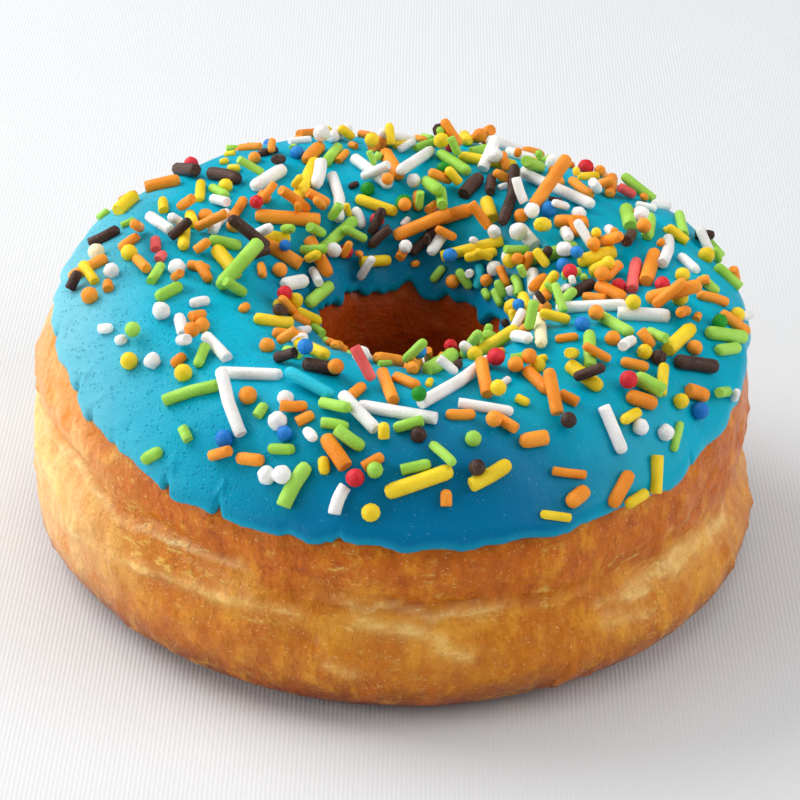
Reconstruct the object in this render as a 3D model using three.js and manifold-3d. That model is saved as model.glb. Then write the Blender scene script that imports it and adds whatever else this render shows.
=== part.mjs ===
// An iced ring doughnut that lies flat, with sugar sprinkles set in its icing.
// Millimetres, +Z up. The origin is on the table, under the middle of the ring.
// The front is -Y, and the hole sits a little towards +X.
import * as THREE from 'three';
import { mergeVertices } from 'three/addons/utils/BufferGeometryUtils.js';
import Module from 'manifold-3d';

const wasm = await Module();
wasm.setup();

const DEGREE = Math.PI / 180;

// The fried ring, whose base is flattened a little by its own weight.
const RING_RADIUS = 46.3;
const HOLE_RADIUS = 11;
const HOLE_SHIFT_X = 2.3;
const HOLE_SHIFT_Y = -0.4;
const HEIGHT = 39;
const RISE = 1.4;
const RISE_TOWARDS = 100 * DEGREE;
const WIDEST_HEIGHT = 15.6;
const BASE_CUT = 0.3;

// How square a cut through the ring is: 2 is an ellipse, and more is squarer.
// The top outside corner is squarer towards one side of the ring.
const SQUARE_TOP_OUTSIDE = 3;
const SQUARE_TOP_INSIDE = 2.6;
const SQUARE_BASE_INSIDE = 2.2;
const SQUARE_BASE_OUTSIDE = 5;
const SQUARE_SWING = 0.8;
const SQUARE_TOWARDS = 70 * DEGREE;

// The pale waist, where the two fried sides meet. It is lower towards +X.
const WAIST_HEIGHT = 17.9;
const WAIST_SWING = 4.2;
const WAIST_DEPTH = 1.1;
const WAIST_WIDTH = 3;

// The lower side swells out below the waist, most towards +X.
const SWELL = 1.1;
const SWELL_SWING = 1;
const SWELL_BELOW_WAIST = 9;
const SWELL_WIDTH = 5;

// Slow waves of the ring's outline: how many to a turn, size, and the angle of a crest.
const OUTLINE_WAVES = [
  [1, 0.5, 163],
  [2, 0.55, -19],
  [3, 0.25, 23],
  [4, 0.55, 8],
  [5, 0.2, 32],
];

// Soft lumps of the crust: how many round the ring, how many round the cut, size, and a start.
const CRUST_LUMPS = [
  [5, 2, 0.24, 20],
  [9, -3, 0.2, 130],
  [14, 4, 0.14, 250],
];

// The icing is a shell over the top. Its edges are angles up a cut through the ring:
// 0 is level outwards, 90 is the crown, and 180 is level into the hole.
const ICING_THICKNESS = 1;
const ICING_GAP = 0.4;
const ICING_BED = 1.35;
const BED_RUN_OUT = 32 * DEGREE;
const OUTER_EDGE = 41.5;
const OUTER_EDGE_DIP_FRONT = 8.3;
const OUTER_EDGE_DIP_BOTH = 4.3;
const LOWEST_TOWARDS = -83 * DEGREE;
const INNER_EDGE = 139.5;

// Ragged waves of the two edges, in degrees: how many to a turn, size, and a crest.
const OUTER_EDGE_WAVES = [
  [3, 0.8, 48],
  [4, 1.6, 6],
  [9, 0.5, -57],
  [17, 0.7, -10],
  [29, 0.55, 4],
  [47, 0.4, 1],
];
const INNER_EDGE_WAVES = [
  [5, 0.8, 30],
  [10, 1.6, 31],
  [17, 1.0, 50],
  [31, 0.6, 7],
];

// Rods that stand out, by the angles of their two ends: round the ring, and up the cut.
const THICK_RADIUS = 0.98;
const THICK_RODS = [
  [-106.8, 40.9, -104, 56.1], [-102, 65.5, -97.4, 56.2], [-91, 49.2, -80, 56.9],
  [-80.2, 102.5, -67.5, 116.7], [-67, 63.4, -61.9, 63], [-62.1, 40.1, -58.2, 43.4],
  [-43.2, 65.5, -38.9, 58.6], [-38.8, 69.6, -37.3, 59.8], [-30.6, 56.4, -27.6, 50.6],
  [-28.2, 65.3, -21.4, 54.4], [-27.3, 69, -16.6, 67.7], [-19.7, 89.6, -16.3, 74.1],
  [10.8, 80.4, -4.1, 85.4], [7.5, 105.3, 10.7, 92.9], [1.7, 102.3, 5.5, 94.2], [8, 132.1, -5.7, 122.3],
  [30.6, 76.4, 22.2, 82.3], [32.4, 101.6, 27.7, 93], [22.8, 118.8, 13.7, 102.9],
  [33.2, 103.7, 22.6, 111.9], [66.8, 104.3, 66.1, 92.8], [59.1, 103.4, 51.1, 110.8],
  [76.4, 116.2, 59.9, 109], [94.3, 85.1, 90.5, 102.9], [115.3, 86.5, 108.7, 76.5],
  [134.9, 89.9, 122.7, 89.3], [112.9, 90.4, 129.6, 106.8], [136.4, 71, 134.2, 83.2],
  [148.7, 102.5, 129.2, 115.9], [155.2, 107.7, 148, 115.8], [160, 111.6, 157.9, 124.5],
  [173.5, 100.7, 186.8, 108.9], [-160.7, 100.7, -182.8, 114.4], [-176.1, 123, -193.9, 129.1],
  [146.8, 59.4, 142, 67.1], [158, 61.8, 151.5, 61.1],
];
const THIN_RADIUS = 0.8;
const THIN_RODS = [
  [-135.5, 58.8, -126.8, 72.2], [-126.9, 75, -117, 58.9], [-129.6, 75.4, -116.6, 85.1],
  [-132.5, 38.8, -129.9, 44.6], [-116.7, 52, -111.8, 54.2], [-108.6, 38.7, -107.7, 47],
  [-98.6, 41, -97.3, 50.5], [-100.1, 67.2, -94.8, 62.9], [-97, 79.8, -81.1, 73.9],
  [-86.2, 78, -62, 106.2], [-100.8, 80.2, -92.8, 69.6], [-49.3, 65.9, -50.1, 49.9],
  [-17.9, 57.3, -12.4, 51.3], [-8.3, 61, -6.5, 49.2], [-66.1, 98.4, -69.3, 83.2],
  [-56, 90.8, -56.7, 77.5], [-142.1, 85.3, -131, 82], [-142.6, 102.9, -138.8, 115.4],
  [-134.1, 103.8, -126.7, 114], [-122, 103.5, -109.1, 100.2], [-114.9, 83.4, -102.6, 81.2],
  [-92.6, 99.3, -90, 81], [-22.9, 94.5, -28.6, 80.4], [-19.7, 110.2, -15.5, 88.5],
  [-27.9, 113.9, -47.3, 97.6], [-34, 91.5, -44.3, 80.1], [-41.7, 113.3, -47, 100.9],
  [17.3, 72, 3.7, 79.7], [7, 87.6, -8, 89.2], [15.3, 118.7, 2.8, 121.5], [28, 101.3, 14.7, 106.1],
  [29.6, 80.7, 33, 65.3], [19.9, 83, 9.3, 90.8], [-11.1, 112.8, -3.6, 100.4], [56.7, 85.6, 32.1, 89.6],
  [59.1, 86.2, 43.4, 113.8], [63.6, 127, 40.5, 116.1], [67.5, 117.3, 70.1, 127.8],
  [80.4, 82.1, 69.8, 94.9], [81.4, 79.4, 90, 108.4], [102.9, 88.3, 94.3, 107.5],
  [110.7, 89.2, 104.7, 78.3], [107.3, 109.6, 91.3, 116.6], [114.2, 131.4, 94.5, 131.8],
  [111.5, 98.7, 116.5, 117.9], [134.9, 123.3, 111.7, 119.2], [139.7, 105.4, 121.7, 91.5],
  [149.5, 93.2, 163.7, 96.6], [169.9, 97.5, 169.9, 107.6], [159.8, 73.5, 166.7, 84.8],
  [155.6, 84.2, 161.8, 89.7], [164.4, 88.1, 175.7, 91.7], [169.4, 59.1, 165.6, 67],
  [-178.2, 56.7, -182.1, 68.1], [-160.3, 80.4, -164.9, 89.5], [-152.6, 83.6, -146.2, 80.1],
];
const BALL_RADIUS = 1.15;
const BALLS = [
  [-169.5, 62.6], [174.6, 63.9], [177.7, 74.9], [-174.9, 89.8], [-155.4, 79.3], [-147.8, 61.7],
  [-135.9, 69.3], [-120, 56.3], [-119.9, 72], [-111.6, 67.1], [-110.4, 49.5], [-107.4, 50.4],
  [-106.3, 37.2], [-95.6, 52.6], [-92.9, 42.5], [-61, 99.2], [-30.8, 49], [-41.7, 68.5], [-8.9, 73.8],
  [12.3, 61.9], [38, 99.1],
];

// The other sprinkles: each size has a count, a length and a radius. A ball has no length.
const SPRINKLE_SEED = 7043;
const SPRINKLE_SIZES = [
  { count: 14, length: [6.5, 9], radius: [0.78, 0.98] },
  { count: 32, length: [4.2, 6.5], radius: [0.75, 0.95] },
  { count: 8, length: [0, 0], radius: [1.1, 1.2] },
];
const SPRINKLE_SIDES = 6;
const SUNK_SHARE = 0.4;
const CLEAR_OF_EDGE = 5 * DEGREE;
const DENSE_TOWARDS = 40 * DEGREE;
const MOST_TRIES = 4000;

// How near two sprinkles come, as a share of touching, and how one leans on others.
const NEAREST_SHARE = 0.9;
const PILE_CHANCE = 0.4;
const RAISE_STEP = 0.15;
const MOST_RAISED = 2.4;
const MOST_RAISED_SLOPE = 0.9;
const SLOPE_ENDS = 75 * DEGREE;

const STEPS_AROUND = 80;
const STEPS_OVER_TOP = 7;

function waves(list, theta) {
  let sum = 0;
  for (const [count, size, crest] of list) {
    sum += size * Math.cos(count * (theta - crest * DEGREE));
  }
  return sum;
}

function smoothStep(x) {
  const t = Math.min(Math.max(x, 0), 1);
  return t * t * (3 - 2 * t);
}

// The icing's edges without their raggedness, and with it, in radians.
function evenOuterEdge(theta) {
  const fromLowest = theta - LOWEST_TOWARDS;
  const dips = OUTER_EDGE_DIP_FRONT * Math.cos(fromLowest)
    + OUTER_EDGE_DIP_BOTH * Math.cos(2 * fromLowest);
  return (OUTER_EDGE - dips) * DEGREE;
}

function outerEdge(theta) {
  return evenOuterEdge(theta) + waves(OUTER_EDGE_WAVES, theta) * DEGREE;
}

function innerEdge(theta) {
  return (INNER_EDGE + waves(INNER_EDGE_WAVES, theta)) * DEGREE;
}

// The dough lies lower under the icing than beside it.
function bedDepth(theta, phi) {
  const inside = Math.min(phi - evenOuterEdge(theta), INNER_EDGE * DEGREE - phi);
  return ICING_BED * smoothStep(inside / BED_RUN_OUT + 0.15);
}

// A point of the ring: theta goes round it from +X, and phi round the cut through it,
// from level outwards over the crown. The lift is how far the point stands off the dough.
function ringPoint(theta, phi, lift) {
  const outer = RING_RADIUS + waves(OUTLINE_WAVES, theta);
  const inner = HOLE_RADIUS + HOLE_SHIFT_X * Math.cos(theta) + HOLE_SHIFT_Y * Math.sin(theta);
  const across = Math.cos(phi);
  const up = Math.sin(phi);
  const top = HEIGHT + RISE * Math.cos(theta - RISE_TOWARDS);
  const halfWidth = (outer - inner) / 2;
  const halfHeight = up >= 0 ? top - WIDEST_HEIGHT : WIDEST_HEIGHT;
  let square = across >= 0 ? SQUARE_BASE_OUTSIDE : SQUARE_BASE_INSIDE;
  if (up >= 0) {
    const outside = SQUARE_TOP_OUTSIDE + SQUARE_SWING * Math.cos(theta - SQUARE_TOWARDS);
    square = across >= 0 ? outside : SQUARE_TOP_INSIDE;
  }
  const sum = Math.abs(across / halfWidth) ** square + Math.abs(up / halfHeight) ** square;
  let lumps = 0;
  for (const [round, over, size, start] of CRUST_LUMPS) {
    lumps += size * Math.cos(round * theta + over * phi - start * DEGREE);
  }
  const reach = sum ** (-1 / square) + lumps * (1 + up) / 2 - bedDepth(theta, phi) + lift;
  const rawHeight = WIDEST_HEIGHT + reach * up;
  let radius = (outer + inner) / 2 + reach * across;
  if (across > 0) {
    const aboveWaist = rawHeight - WAIST_HEIGHT + WAIST_SWING * Math.cos(theta);
    const swell = SWELL + SWELL_SWING * Math.cos(theta);
    radius += swell * Math.exp(-(((aboveWaist + SWELL_BELOW_WAIST) / SWELL_WIDTH) ** 2));
    radius -= WAIST_DEPTH * Math.exp(-((aboveWaist / WAIST_WIDTH) ** 2));
  }
  const height = Math.max(rawHeight - BASE_CUT, 0);
  return new THREE.Vector3(radius * Math.cos(theta), radius * Math.sin(theta), height);
}

// A closed ring of rows: a torus whose points are moved to place(theta, row).
function shapedRing(rows, place) {
  const geometry = new THREE.TorusGeometry(RING_RADIUS, HOLE_RADIUS, rows, STEPS_AROUND);
  const position = geometry.getAttribute('position');
  for (let row = 0; row <= rows; row += 1) {
    for (let step = 0; step <= STEPS_AROUND; step += 1) {
      const theta = (step % STEPS_AROUND) / STEPS_AROUND * 2 * Math.PI;
      const point = place(theta, row % rows);
      position.setXYZ(row * (STEPS_AROUND + 1) + step, point.x, point.y, point.z);
    }
  }
  return geometry;
}

// Rows from the icing's outer edge over the crown to its inner edge.
function overTop(theta, step) {
  const from = outerEdge(theta);
  return from + (innerEdge(theta) - from) * step / STEPS_OVER_TOP;
}

// Rows of bare dough, from the hole's wall under the base and up the outside.
const BARE_ROWS = [163, 190, 220, 254, 303, 318, 333, 348, 360, 366, 372.5, 379, 385];

function doughPoint(theta, row) {
  const phi = row <= STEPS_OVER_TOP ? overTop(theta, row) : BARE_ROWS[row - STEPS_OVER_TOP - 1] * DEGREE;
  return ringPoint(theta, phi, 0);
}

// The rounded rim of the icing: how far in from its edge, and the share of full thickness.
const RIM = [
  [0, 0.45],
  [1.2 * DEGREE, 0.9],
  [3.5 * DEGREE, 1],
];

function icingPoint(theta, row) {
  const topRows = 2 * RIM.length + STEPS_OVER_TOP - 1;
  if (row >= topRows) {
    return ringPoint(theta, overTop(theta, STEPS_OVER_TOP - (row - topRows)), ICING_GAP);
  }
  let phi;
  let share = 1;
  if (row < RIM.length) {
    phi = outerEdge(theta) + RIM[row][0];
    share = RIM[row][1];
  } else if (row >= topRows - RIM.length) {
    phi = innerEdge(theta) - RIM[topRows - 1 - row][0];
    share = RIM[topRows - 1 - row][1];
  } else {
    phi = overTop(theta, row - RIM.length + 1);
  }
  return ringPoint(theta, phi, ICING_GAP + ICING_THICKNESS * share);
}

function solidFrom(geometry) {
  geometry.deleteAttribute('normal');
  geometry.deleteAttribute('uv');
  const merged = mergeVertices(geometry, 1e-4);
  return new wasm.Manifold(new wasm.Mesh({
    numProp: 3,
    vertProperties: merged.getAttribute('position').array,
    triVerts: new Uint32Array(merged.index.array),
  }));
}

function geometryFrom(solid) {
  const mesh = solid.getMesh();
  const geometry = new THREE.BufferGeometry();
  geometry.setAttribute('position', new THREE.BufferAttribute(mesh.vertProperties, 3));
  geometry.setIndex(new THREE.BufferAttribute(mesh.triVerts, 1));
  return geometry;
}

// The same draws every time, from 0 to 1.
let drawState = SPRINKLE_SEED;
function draw() {
  drawState = (Math.imul(drawState, 1664525) + 1013904223) >>> 0;
  return drawState / 4294967296;
}

// How thickly sprinkles lie: most at the back, at the right and round the hole.
function density(theta, phi) {
  const towardsHole = (phi / DEGREE - 60) / 60;
  return 0.3 + 0.4 * Math.cos(theta - DENSE_TOWARDS) + 0.2 * towardsHole;
}

// The icing's surface and the way out of it at a place.
function icingFrame(theta, phi) {
  const lift = ICING_GAP + ICING_THICKNESS;
  const step = 0.01;
  const point = ringPoint(theta, phi, lift);
  const along = ringPoint(theta + step, phi, lift).sub(ringPoint(theta - step, phi, lift)).normalize();
  const over = ringPoint(theta, phi + step, lift).sub(ringPoint(theta, phi - step, lift)).normalize();
  const out = new THREE.Vector3().crossVectors(along, over).normalize();
  return { point, along, over, out };
}

// Points a millimetre or so apart along a sprinkle, to tell how near two sprinkles are.
function pointsAlong(sprinkle) {
  const count = Math.ceil(sprinkle.length) + 1;
  const points = [];
  for (let i = 0; i < count; i += 1) {
    const share = count > 1 ? i / (count - 1) - 0.5 : 0;
    points.push(sprinkle.middle.clone().addScaledVector(sprinkle.way, share * sprinkle.length));
  }
  return points;
}

// No sprinkle reaches over the open hole.
function overHole(sprinkle) {
  return sprinkle.points.some((point) => (
    Math.hypot(point.x - HOLE_SHIFT_X, point.y - HOLE_SHIFT_Y) < HOLE_RADIUS + sprinkle.radius
  ));
}

function nearest(sprinkle, others) {
  let share = Infinity;
  for (const other of others) {
    const touching = sprinkle.radius + other.radius;
    for (const a of sprinkle.points) {
      for (const b of other.points) {
        share = Math.min(share, a.distanceTo(b) / touching);
      }
    }
  }
  return share;
}

// One sprinkle at a place, turned by its heading, raised off the icing and tilted.
// Inside the hole the icing is hollow along the ring, so a long one rests on its two ends.
function sprinkleAt(theta, phi, heading, length, radius, raised, tilt) {
  const { point, along, over, out } = icingFrame(theta, phi);
  const fromAxis = Math.hypot(point.x, point.y);
  const inwards = Math.max(-(out.x * point.x + out.y * point.y) / fromAxis, 0);
  const bridge = inwards * (length * Math.cos(heading) / 2) ** 2 / (2 * fromAxis);
  const middle = point.addScaledVector(out, radius * (1 - SUNK_SHARE) + bridge + raised);
  const way = along.multiplyScalar(Math.cos(heading)).addScaledVector(over, Math.sin(heading));
  way.multiplyScalar(Math.cos(tilt)).addScaledVector(out, Math.sin(tilt));
  const sprinkle = { middle, way, length, radius, raised };
  sprinkle.points = pointsAlong(sprinkle);
  return sprinkle;
}

// A sprinkle lies on the icing, or else leans with one end on those that lie there.
// On the outer slope it stays low, because a high one would roll off.
function rested(theta, phi, heading, length, radius, laid) {
  const most = phi < SLOPE_ENDS ? MOST_RAISED_SLOPE : MOST_RAISED;
  for (let raised = 0; raised <= most; raised += RAISE_STEP) {
    const lean = length > 0 ? Math.atan(2 * raised / length) : 0;
    for (const tilt of [lean, -lean]) {
      const sprinkle = sprinkleAt(theta, phi, heading, length, radius, raised, tilt);
      if (nearest(sprinkle, laid) >= NEAREST_SHARE && !overHole(sprinkle)) {
        return sprinkle;
      }
    }
  }
  return null;
}

// Lays a rod whose ends lie at two places, or a ball where they are one place.
function layBetween(laid, [theta1, phi1, theta2, phi2], radius) {
  const theta = (theta1 + theta2) / 2 * DEGREE;
  const phi = (phi1 + phi2) / 2 * DEGREE;
  const lift = ICING_GAP + ICING_THICKNESS;
  const way = ringPoint(theta2 * DEGREE, phi2 * DEGREE, lift)
    .sub(ringPoint(theta1 * DEGREE, phi1 * DEGREE, lift));
  const { along, over } = icingFrame(theta, phi);
  const heading = Math.atan2(way.dot(over), way.dot(along));
  const sprinkle = rested(theta, phi, heading, way.length(), radius, laid);
  if (sprinkle) {
    laid.push(sprinkle);
  }
}

function scatter(laid, size) {
  let made = 0;
  for (let attempt = 0; attempt < MOST_TRIES && made < size.count; attempt += 1) {
    const theta = draw() * 2 * Math.PI;
    const from = outerEdge(theta) + CLEAR_OF_EDGE;
    const phi = from + draw() * (innerEdge(theta) - CLEAR_OF_EDGE - from);
    const chance = draw();
    const heading = draw() * 2 * Math.PI;
    const length = size.length[0] + draw() * (size.length[1] - size.length[0]);
    const radius = size.radius[0] + draw() * (size.radius[1] - size.radius[0]);
    const mayPile = draw() < PILE_CHANCE;
    if (chance < density(theta, phi)) {
      const sprinkle = rested(theta, phi, heading, length, radius, laid);
      if (sprinkle && (mayPile || sprinkle.raised === 0)) {
        laid.push(sprinkle);
        made += 1;
      }
    }
  }
}

function laySprinkles() {
  const laid = [];
  THICK_RODS.forEach((ends) => layBetween(laid, ends, THICK_RADIUS));
  THIN_RODS.forEach((ends) => layBetween(laid, ends, THIN_RADIUS));
  BALLS.forEach(([theta, phi]) => layBetween(laid, [theta, phi, theta, phi], BALL_RADIUS));
  SPRINKLE_SIZES.forEach((size) => scatter(laid, size));
  return laid;
}

function sprinkleSolid(sprinkle) {
  const { middle, way, length, radius } = sprinkle;
  const geometry = length > 0
    ? new THREE.CylinderGeometry(radius, radius, length, SPRINKLE_SIDES)
    : new THREE.IcosahedronGeometry(radius, 0);
  const turn = new THREE.Quaternion().setFromUnitVectors(new THREE.Vector3(0, 1, 0), way);
  geometry.applyMatrix4(new THREE.Matrix4().compose(middle, turn, new THREE.Vector3(1, 1, 1)));
  return solidFrom(geometry);
}

// The icing with its sprinkles fused on. A scrap that touches nothing is dropped, and a
// hollow that they seal is filled, because only the one outer skin of the largest is kept.
function fused(icing, sprinkles) {
  const joined = wasm.Manifold.union([icing, ...sprinkles]).simplify(0.02);
  return joined.decompose().reduce((a, b) => (b.volume() > a.volume() ? b : a));
}

const doughMaterial = new THREE.MeshStandardMaterial({
  color: '#d08a42',
  roughness: 0.6,
  metalness: 0,
});
const icingMaterial = new THREE.MeshStandardMaterial({
  color: '#08a5c8',
  roughness: 0.38,
  metalness: 0,
});

const dough = new THREE.Mesh(shapedRing(STEPS_OVER_TOP + 1 + BARE_ROWS.length, doughPoint), doughMaterial);
dough.name = 'dough';

const icingShell = solidFrom(shapedRing(2 * RIM.length + 2 * STEPS_OVER_TOP, icingPoint));
const sprinkled = fused(icingShell, laySprinkles().map(sprinkleSolid));
const icing = new THREE.Mesh(geometryFrom(sprinkled), icingMaterial);
icing.name = 'icing';

const doughnut = new THREE.Group();
doughnut.add(dough, icing);

export default doughnut;
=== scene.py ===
# %% [markdown]
# # An iced ring doughnut with sugar sprinkles
#
# The real thing is a ring of yeast dough, fried on one side and then on the other, so that a pale
# waist stays between two brown bulges. Its top was dipped in blue icing, and rods and balls of sugar
# were shaken over the icing before it set. This lesson builds each of these with a rule: a ring
# surface, an icing shell on that surface, and sprinkles that are laid one by one.
#
# It starts by loading the imported solids, which give the place and the size of everything.

import math

import bpy
import numpy as np
from mathutils import Matrix, Vector


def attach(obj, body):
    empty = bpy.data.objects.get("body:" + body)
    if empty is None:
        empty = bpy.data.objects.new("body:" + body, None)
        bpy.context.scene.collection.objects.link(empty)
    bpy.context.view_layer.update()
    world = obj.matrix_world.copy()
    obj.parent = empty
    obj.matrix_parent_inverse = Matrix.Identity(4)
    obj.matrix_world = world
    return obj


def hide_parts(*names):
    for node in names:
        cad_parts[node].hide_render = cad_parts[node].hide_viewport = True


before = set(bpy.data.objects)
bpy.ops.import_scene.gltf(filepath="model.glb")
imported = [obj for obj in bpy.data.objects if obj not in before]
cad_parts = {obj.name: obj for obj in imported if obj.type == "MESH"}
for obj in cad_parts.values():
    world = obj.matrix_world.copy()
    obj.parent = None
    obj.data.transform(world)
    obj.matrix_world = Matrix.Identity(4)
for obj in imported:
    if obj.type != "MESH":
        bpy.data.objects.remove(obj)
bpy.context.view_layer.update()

MM = 0.001

# %% [markdown]
# ## Numbers that work in two places
#
# The same formula is needed twice: by Geometry Nodes, which bend a flat pattern into the ring, and by
# Python, which has to know where the icing lies to set a sprinkle on it. A node tree can't be read
# like a formula, so a small class stands for the number that comes out of a node. Adding or
# multiplying two of them makes a Math node. One function then serves arrays and nodes alike.

# %% A number that a node works out
class Field:
    """A number that a node tree works out, written like an ordinary number."""

    __array_ufunc__ = None

    def __init__(self, tree, socket):
        self.tree = tree
        self.socket = socket

    def by(self, operation, *others, swap=False):
        values = [self, *others]
        if swap:
            values.reverse()
        node = self.tree.nodes.new("ShaderNodeMath")
        node.operation = operation
        for place, value in enumerate(values):
            if isinstance(value, Field):
                self.tree.links.new(value.socket, node.inputs[place])
            else:
                node.inputs[place].default_value = float(value)
        return Field(self.tree, node.outputs[0])

    def __add__(self, other):
        return self.by("ADD", other)

    __radd__ = __add__

    def __sub__(self, other):
        return self.by("SUBTRACT", other)

    def __rsub__(self, other):
        return self.by("SUBTRACT", other, swap=True)

    def __mul__(self, other):
        return self.by("MULTIPLY", other)

    __rmul__ = __mul__

    def __truediv__(self, other):
        return self.by("DIVIDE", other)

    def __rtruediv__(self, other):
        return self.by("DIVIDE", other, swap=True)

    def __pow__(self, other):
        return self.by("POWER", other)

    def __neg__(self):
        return self.by("MULTIPLY", -1.0)

    def __abs__(self):
        return self.by("ABSOLUTE")


# %% Functions for arrays and for nodes
def cosine(x):
    return x.by("COSINE") if isinstance(x, Field) else np.cos(x)


def sine(x):
    return x.by("SINE") if isinstance(x, Field) else np.sin(x)


def exponential(x):
    return x.by("EXPONENT") if isinstance(x, Field) else np.exp(x)


def smaller(a, b):
    return a.by("MINIMUM", b) if isinstance(a, Field) else np.minimum(a, b)


def larger(a, b):
    return a.by("MAXIMUM", b) if isinstance(a, Field) else np.maximum(a, b)


def not_negative(x):
    """1 where x is 0 or more, and 0 elsewhere."""
    return 1.0 - x.by("LESS_THAN", 0.0) if isinstance(x, Field) else np.where(x >= 0, 1.0, 0.0)


def choose(share, a, b):
    return share * a + (1.0 - share) * b


def smooth_step(x):
    t = smaller(larger(x, 0.0), 1.0)
    return t * t * (3.0 - 2.0 * t)


def degrees(x):
    return x * (math.pi / 180)


# %% [markdown]
# ## The ring's sizes and its surface
#
# A point of the ring has two angles, as on a torus: one goes round the ring, and one goes round the
# cut through it, from level outwards (0) over the crown (90) into the hole (180). The cut isn't a
# circle. A proofed ring sags under its own weight, so its cut is squarer below than above, its waist
# is drawn in, and its outline waves a little. A third number lifts the point off the dough, for icing.

# %% Sizes of the ring, in millimetres
RING = {
    "Ring radius": 46.3,
    "Hole radius": 11.0,
    "Hole shift X": 2.3,
    "Hole shift Y": -0.4,
    "Height": 39.0,
    "Rise": 1.4,
    "Widest height": 15.6,
    "Waist height": 17.9,
    "Waist swing": 4.2,
    "Waist depth": 1.1,
    "Waist width": 3.0,
    "Swell": 1.1,
    "Swell swing": 1.0,
    "Icing bed": 1.35,
}
BASE_CUT = 0.3
RISE_TOWARDS = degrees(100)
SQUARE_TOP_OUTSIDE, SQUARE_TOP_INSIDE = 3.0, 2.6
SQUARE_BASE_INSIDE, SQUARE_BASE_OUTSIDE = 2.2, 5.0
SQUARE_SWING, SQUARE_TOWARDS = 0.8, degrees(70)
SWELL_BELOW_WAIST, SWELL_WIDTH = 9.0, 5.0
BED_RUN_OUT = degrees(32)

# How many to a turn, the size, and the angle of a crest.
OUTLINE_WAVES = [(1, 0.5, 163), (2, 0.55, -19), (3, 0.25, 23), (4, 0.55, 8), (5, 0.2, 32)]
# How many round the ring, how many round the cut, the size, and a start.
CRUST_LUMPS = [(5, 2, 0.24, 20), (9, -3, 0.2, 130), (14, 4, 0.14, 250)]

ICING_THICKNESS = 1.0
ICING_GAP = 0.4
OUTER_EDGE, OUTER_EDGE_DIP_FRONT, OUTER_EDGE_DIP_BOTH = 41.5, 8.3, 4.3
LOWEST_TOWARDS = degrees(-83)
INNER_EDGE = 139.5
OUTER_EDGE_WAVES = [(3, 0.8, 48), (4, 1.6, 6), (9, 0.5, -57), (17, 0.7, -10), (29, 0.55, 4), (47, 0.4, 1)]
INNER_EDGE_WAVES = [(5, 0.8, 30), (10, 1.6, 31), (17, 1.0, 50), (31, 0.6, 7)]


# %% The icing's edges and the ring's surface
def waves(rows, theta):
    total = 0.0
    for count, size, crest in rows:
        total = total + size * cosine((theta - degrees(crest)) * count)
    return total


def even_outer_edge(theta):
    from_lowest = theta - LOWEST_TOWARDS
    dips = OUTER_EDGE_DIP_FRONT * cosine(from_lowest) + OUTER_EDGE_DIP_BOTH * cosine(from_lowest * 2)
    return degrees(OUTER_EDGE - dips)


def outer_edge(theta):
    return even_outer_edge(theta) + degrees(waves(OUTER_EDGE_WAVES, theta))


def inner_edge(theta):
    return degrees(INNER_EDGE + waves(INNER_EDGE_WAVES, theta))


def ring_point(theta, phi, lift, ring=RING):
    """x, y and z in millimetres of a point that stands lift off the dough."""
    outer = ring["Ring radius"] + waves(OUTLINE_WAVES, theta)
    shift = ring["Hole shift X"] * cosine(theta) + ring["Hole shift Y"] * sine(theta)
    inner = ring["Hole radius"] + shift
    across, up = cosine(phi), sine(phi)
    top = ring["Height"] + ring["Rise"] * cosine(theta - RISE_TOWARDS)
    half_width = (outer - inner) / 2
    above, outwards = not_negative(up), not_negative(across)
    half_height = choose(above, top - ring["Widest height"], ring["Widest height"])
    top_outside = SQUARE_TOP_OUTSIDE + SQUARE_SWING * cosine(theta - SQUARE_TOWARDS)
    square_above = choose(outwards, top_outside, SQUARE_TOP_INSIDE)
    square_below = choose(outwards, SQUARE_BASE_OUTSIDE, SQUARE_BASE_INSIDE)
    square = choose(above, square_above, square_below)
    total = abs(across / half_width) ** square + abs(up / half_height) ** square
    lumps = 0.0
    for around, over, size, start in CRUST_LUMPS:
        lumps = lumps + size * cosine(theta * around + phi * over - degrees(start))
    inside = smaller(phi - even_outer_edge(theta), degrees(INNER_EDGE) - phi)
    bed = ring["Icing bed"] * smooth_step(inside / BED_RUN_OUT + 0.15)
    reach = total ** (-1.0 / square) + lumps * (up + 1.0) / 2 - bed + lift
    raw = reach * up + ring["Widest height"]
    above_waist = raw - ring["Waist height"] + ring["Waist swing"] * cosine(theta)
    swell = ring["Swell"] + ring["Swell swing"] * cosine(theta)
    dent = ring["Waist depth"] * exponential(-((above_waist / ring["Waist width"]) ** 2.0))
    swell = swell * exponential(-(((above_waist + SWELL_BELOW_WAIST) / SWELL_WIDTH) ** 2.0))
    radius = (outer + inner) / 2 + reach * across + outwards * (swell - dent)
    return radius * cosine(theta), radius * sine(theta), larger(raw - BASE_CUT, 0.0)


crown = ring_point(np.radians([-90.0, 0.0, 90.0, 180.0]), np.radians(90.0), 0.0)
print("crown heights (mm):", crown[2].round(2))
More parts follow.
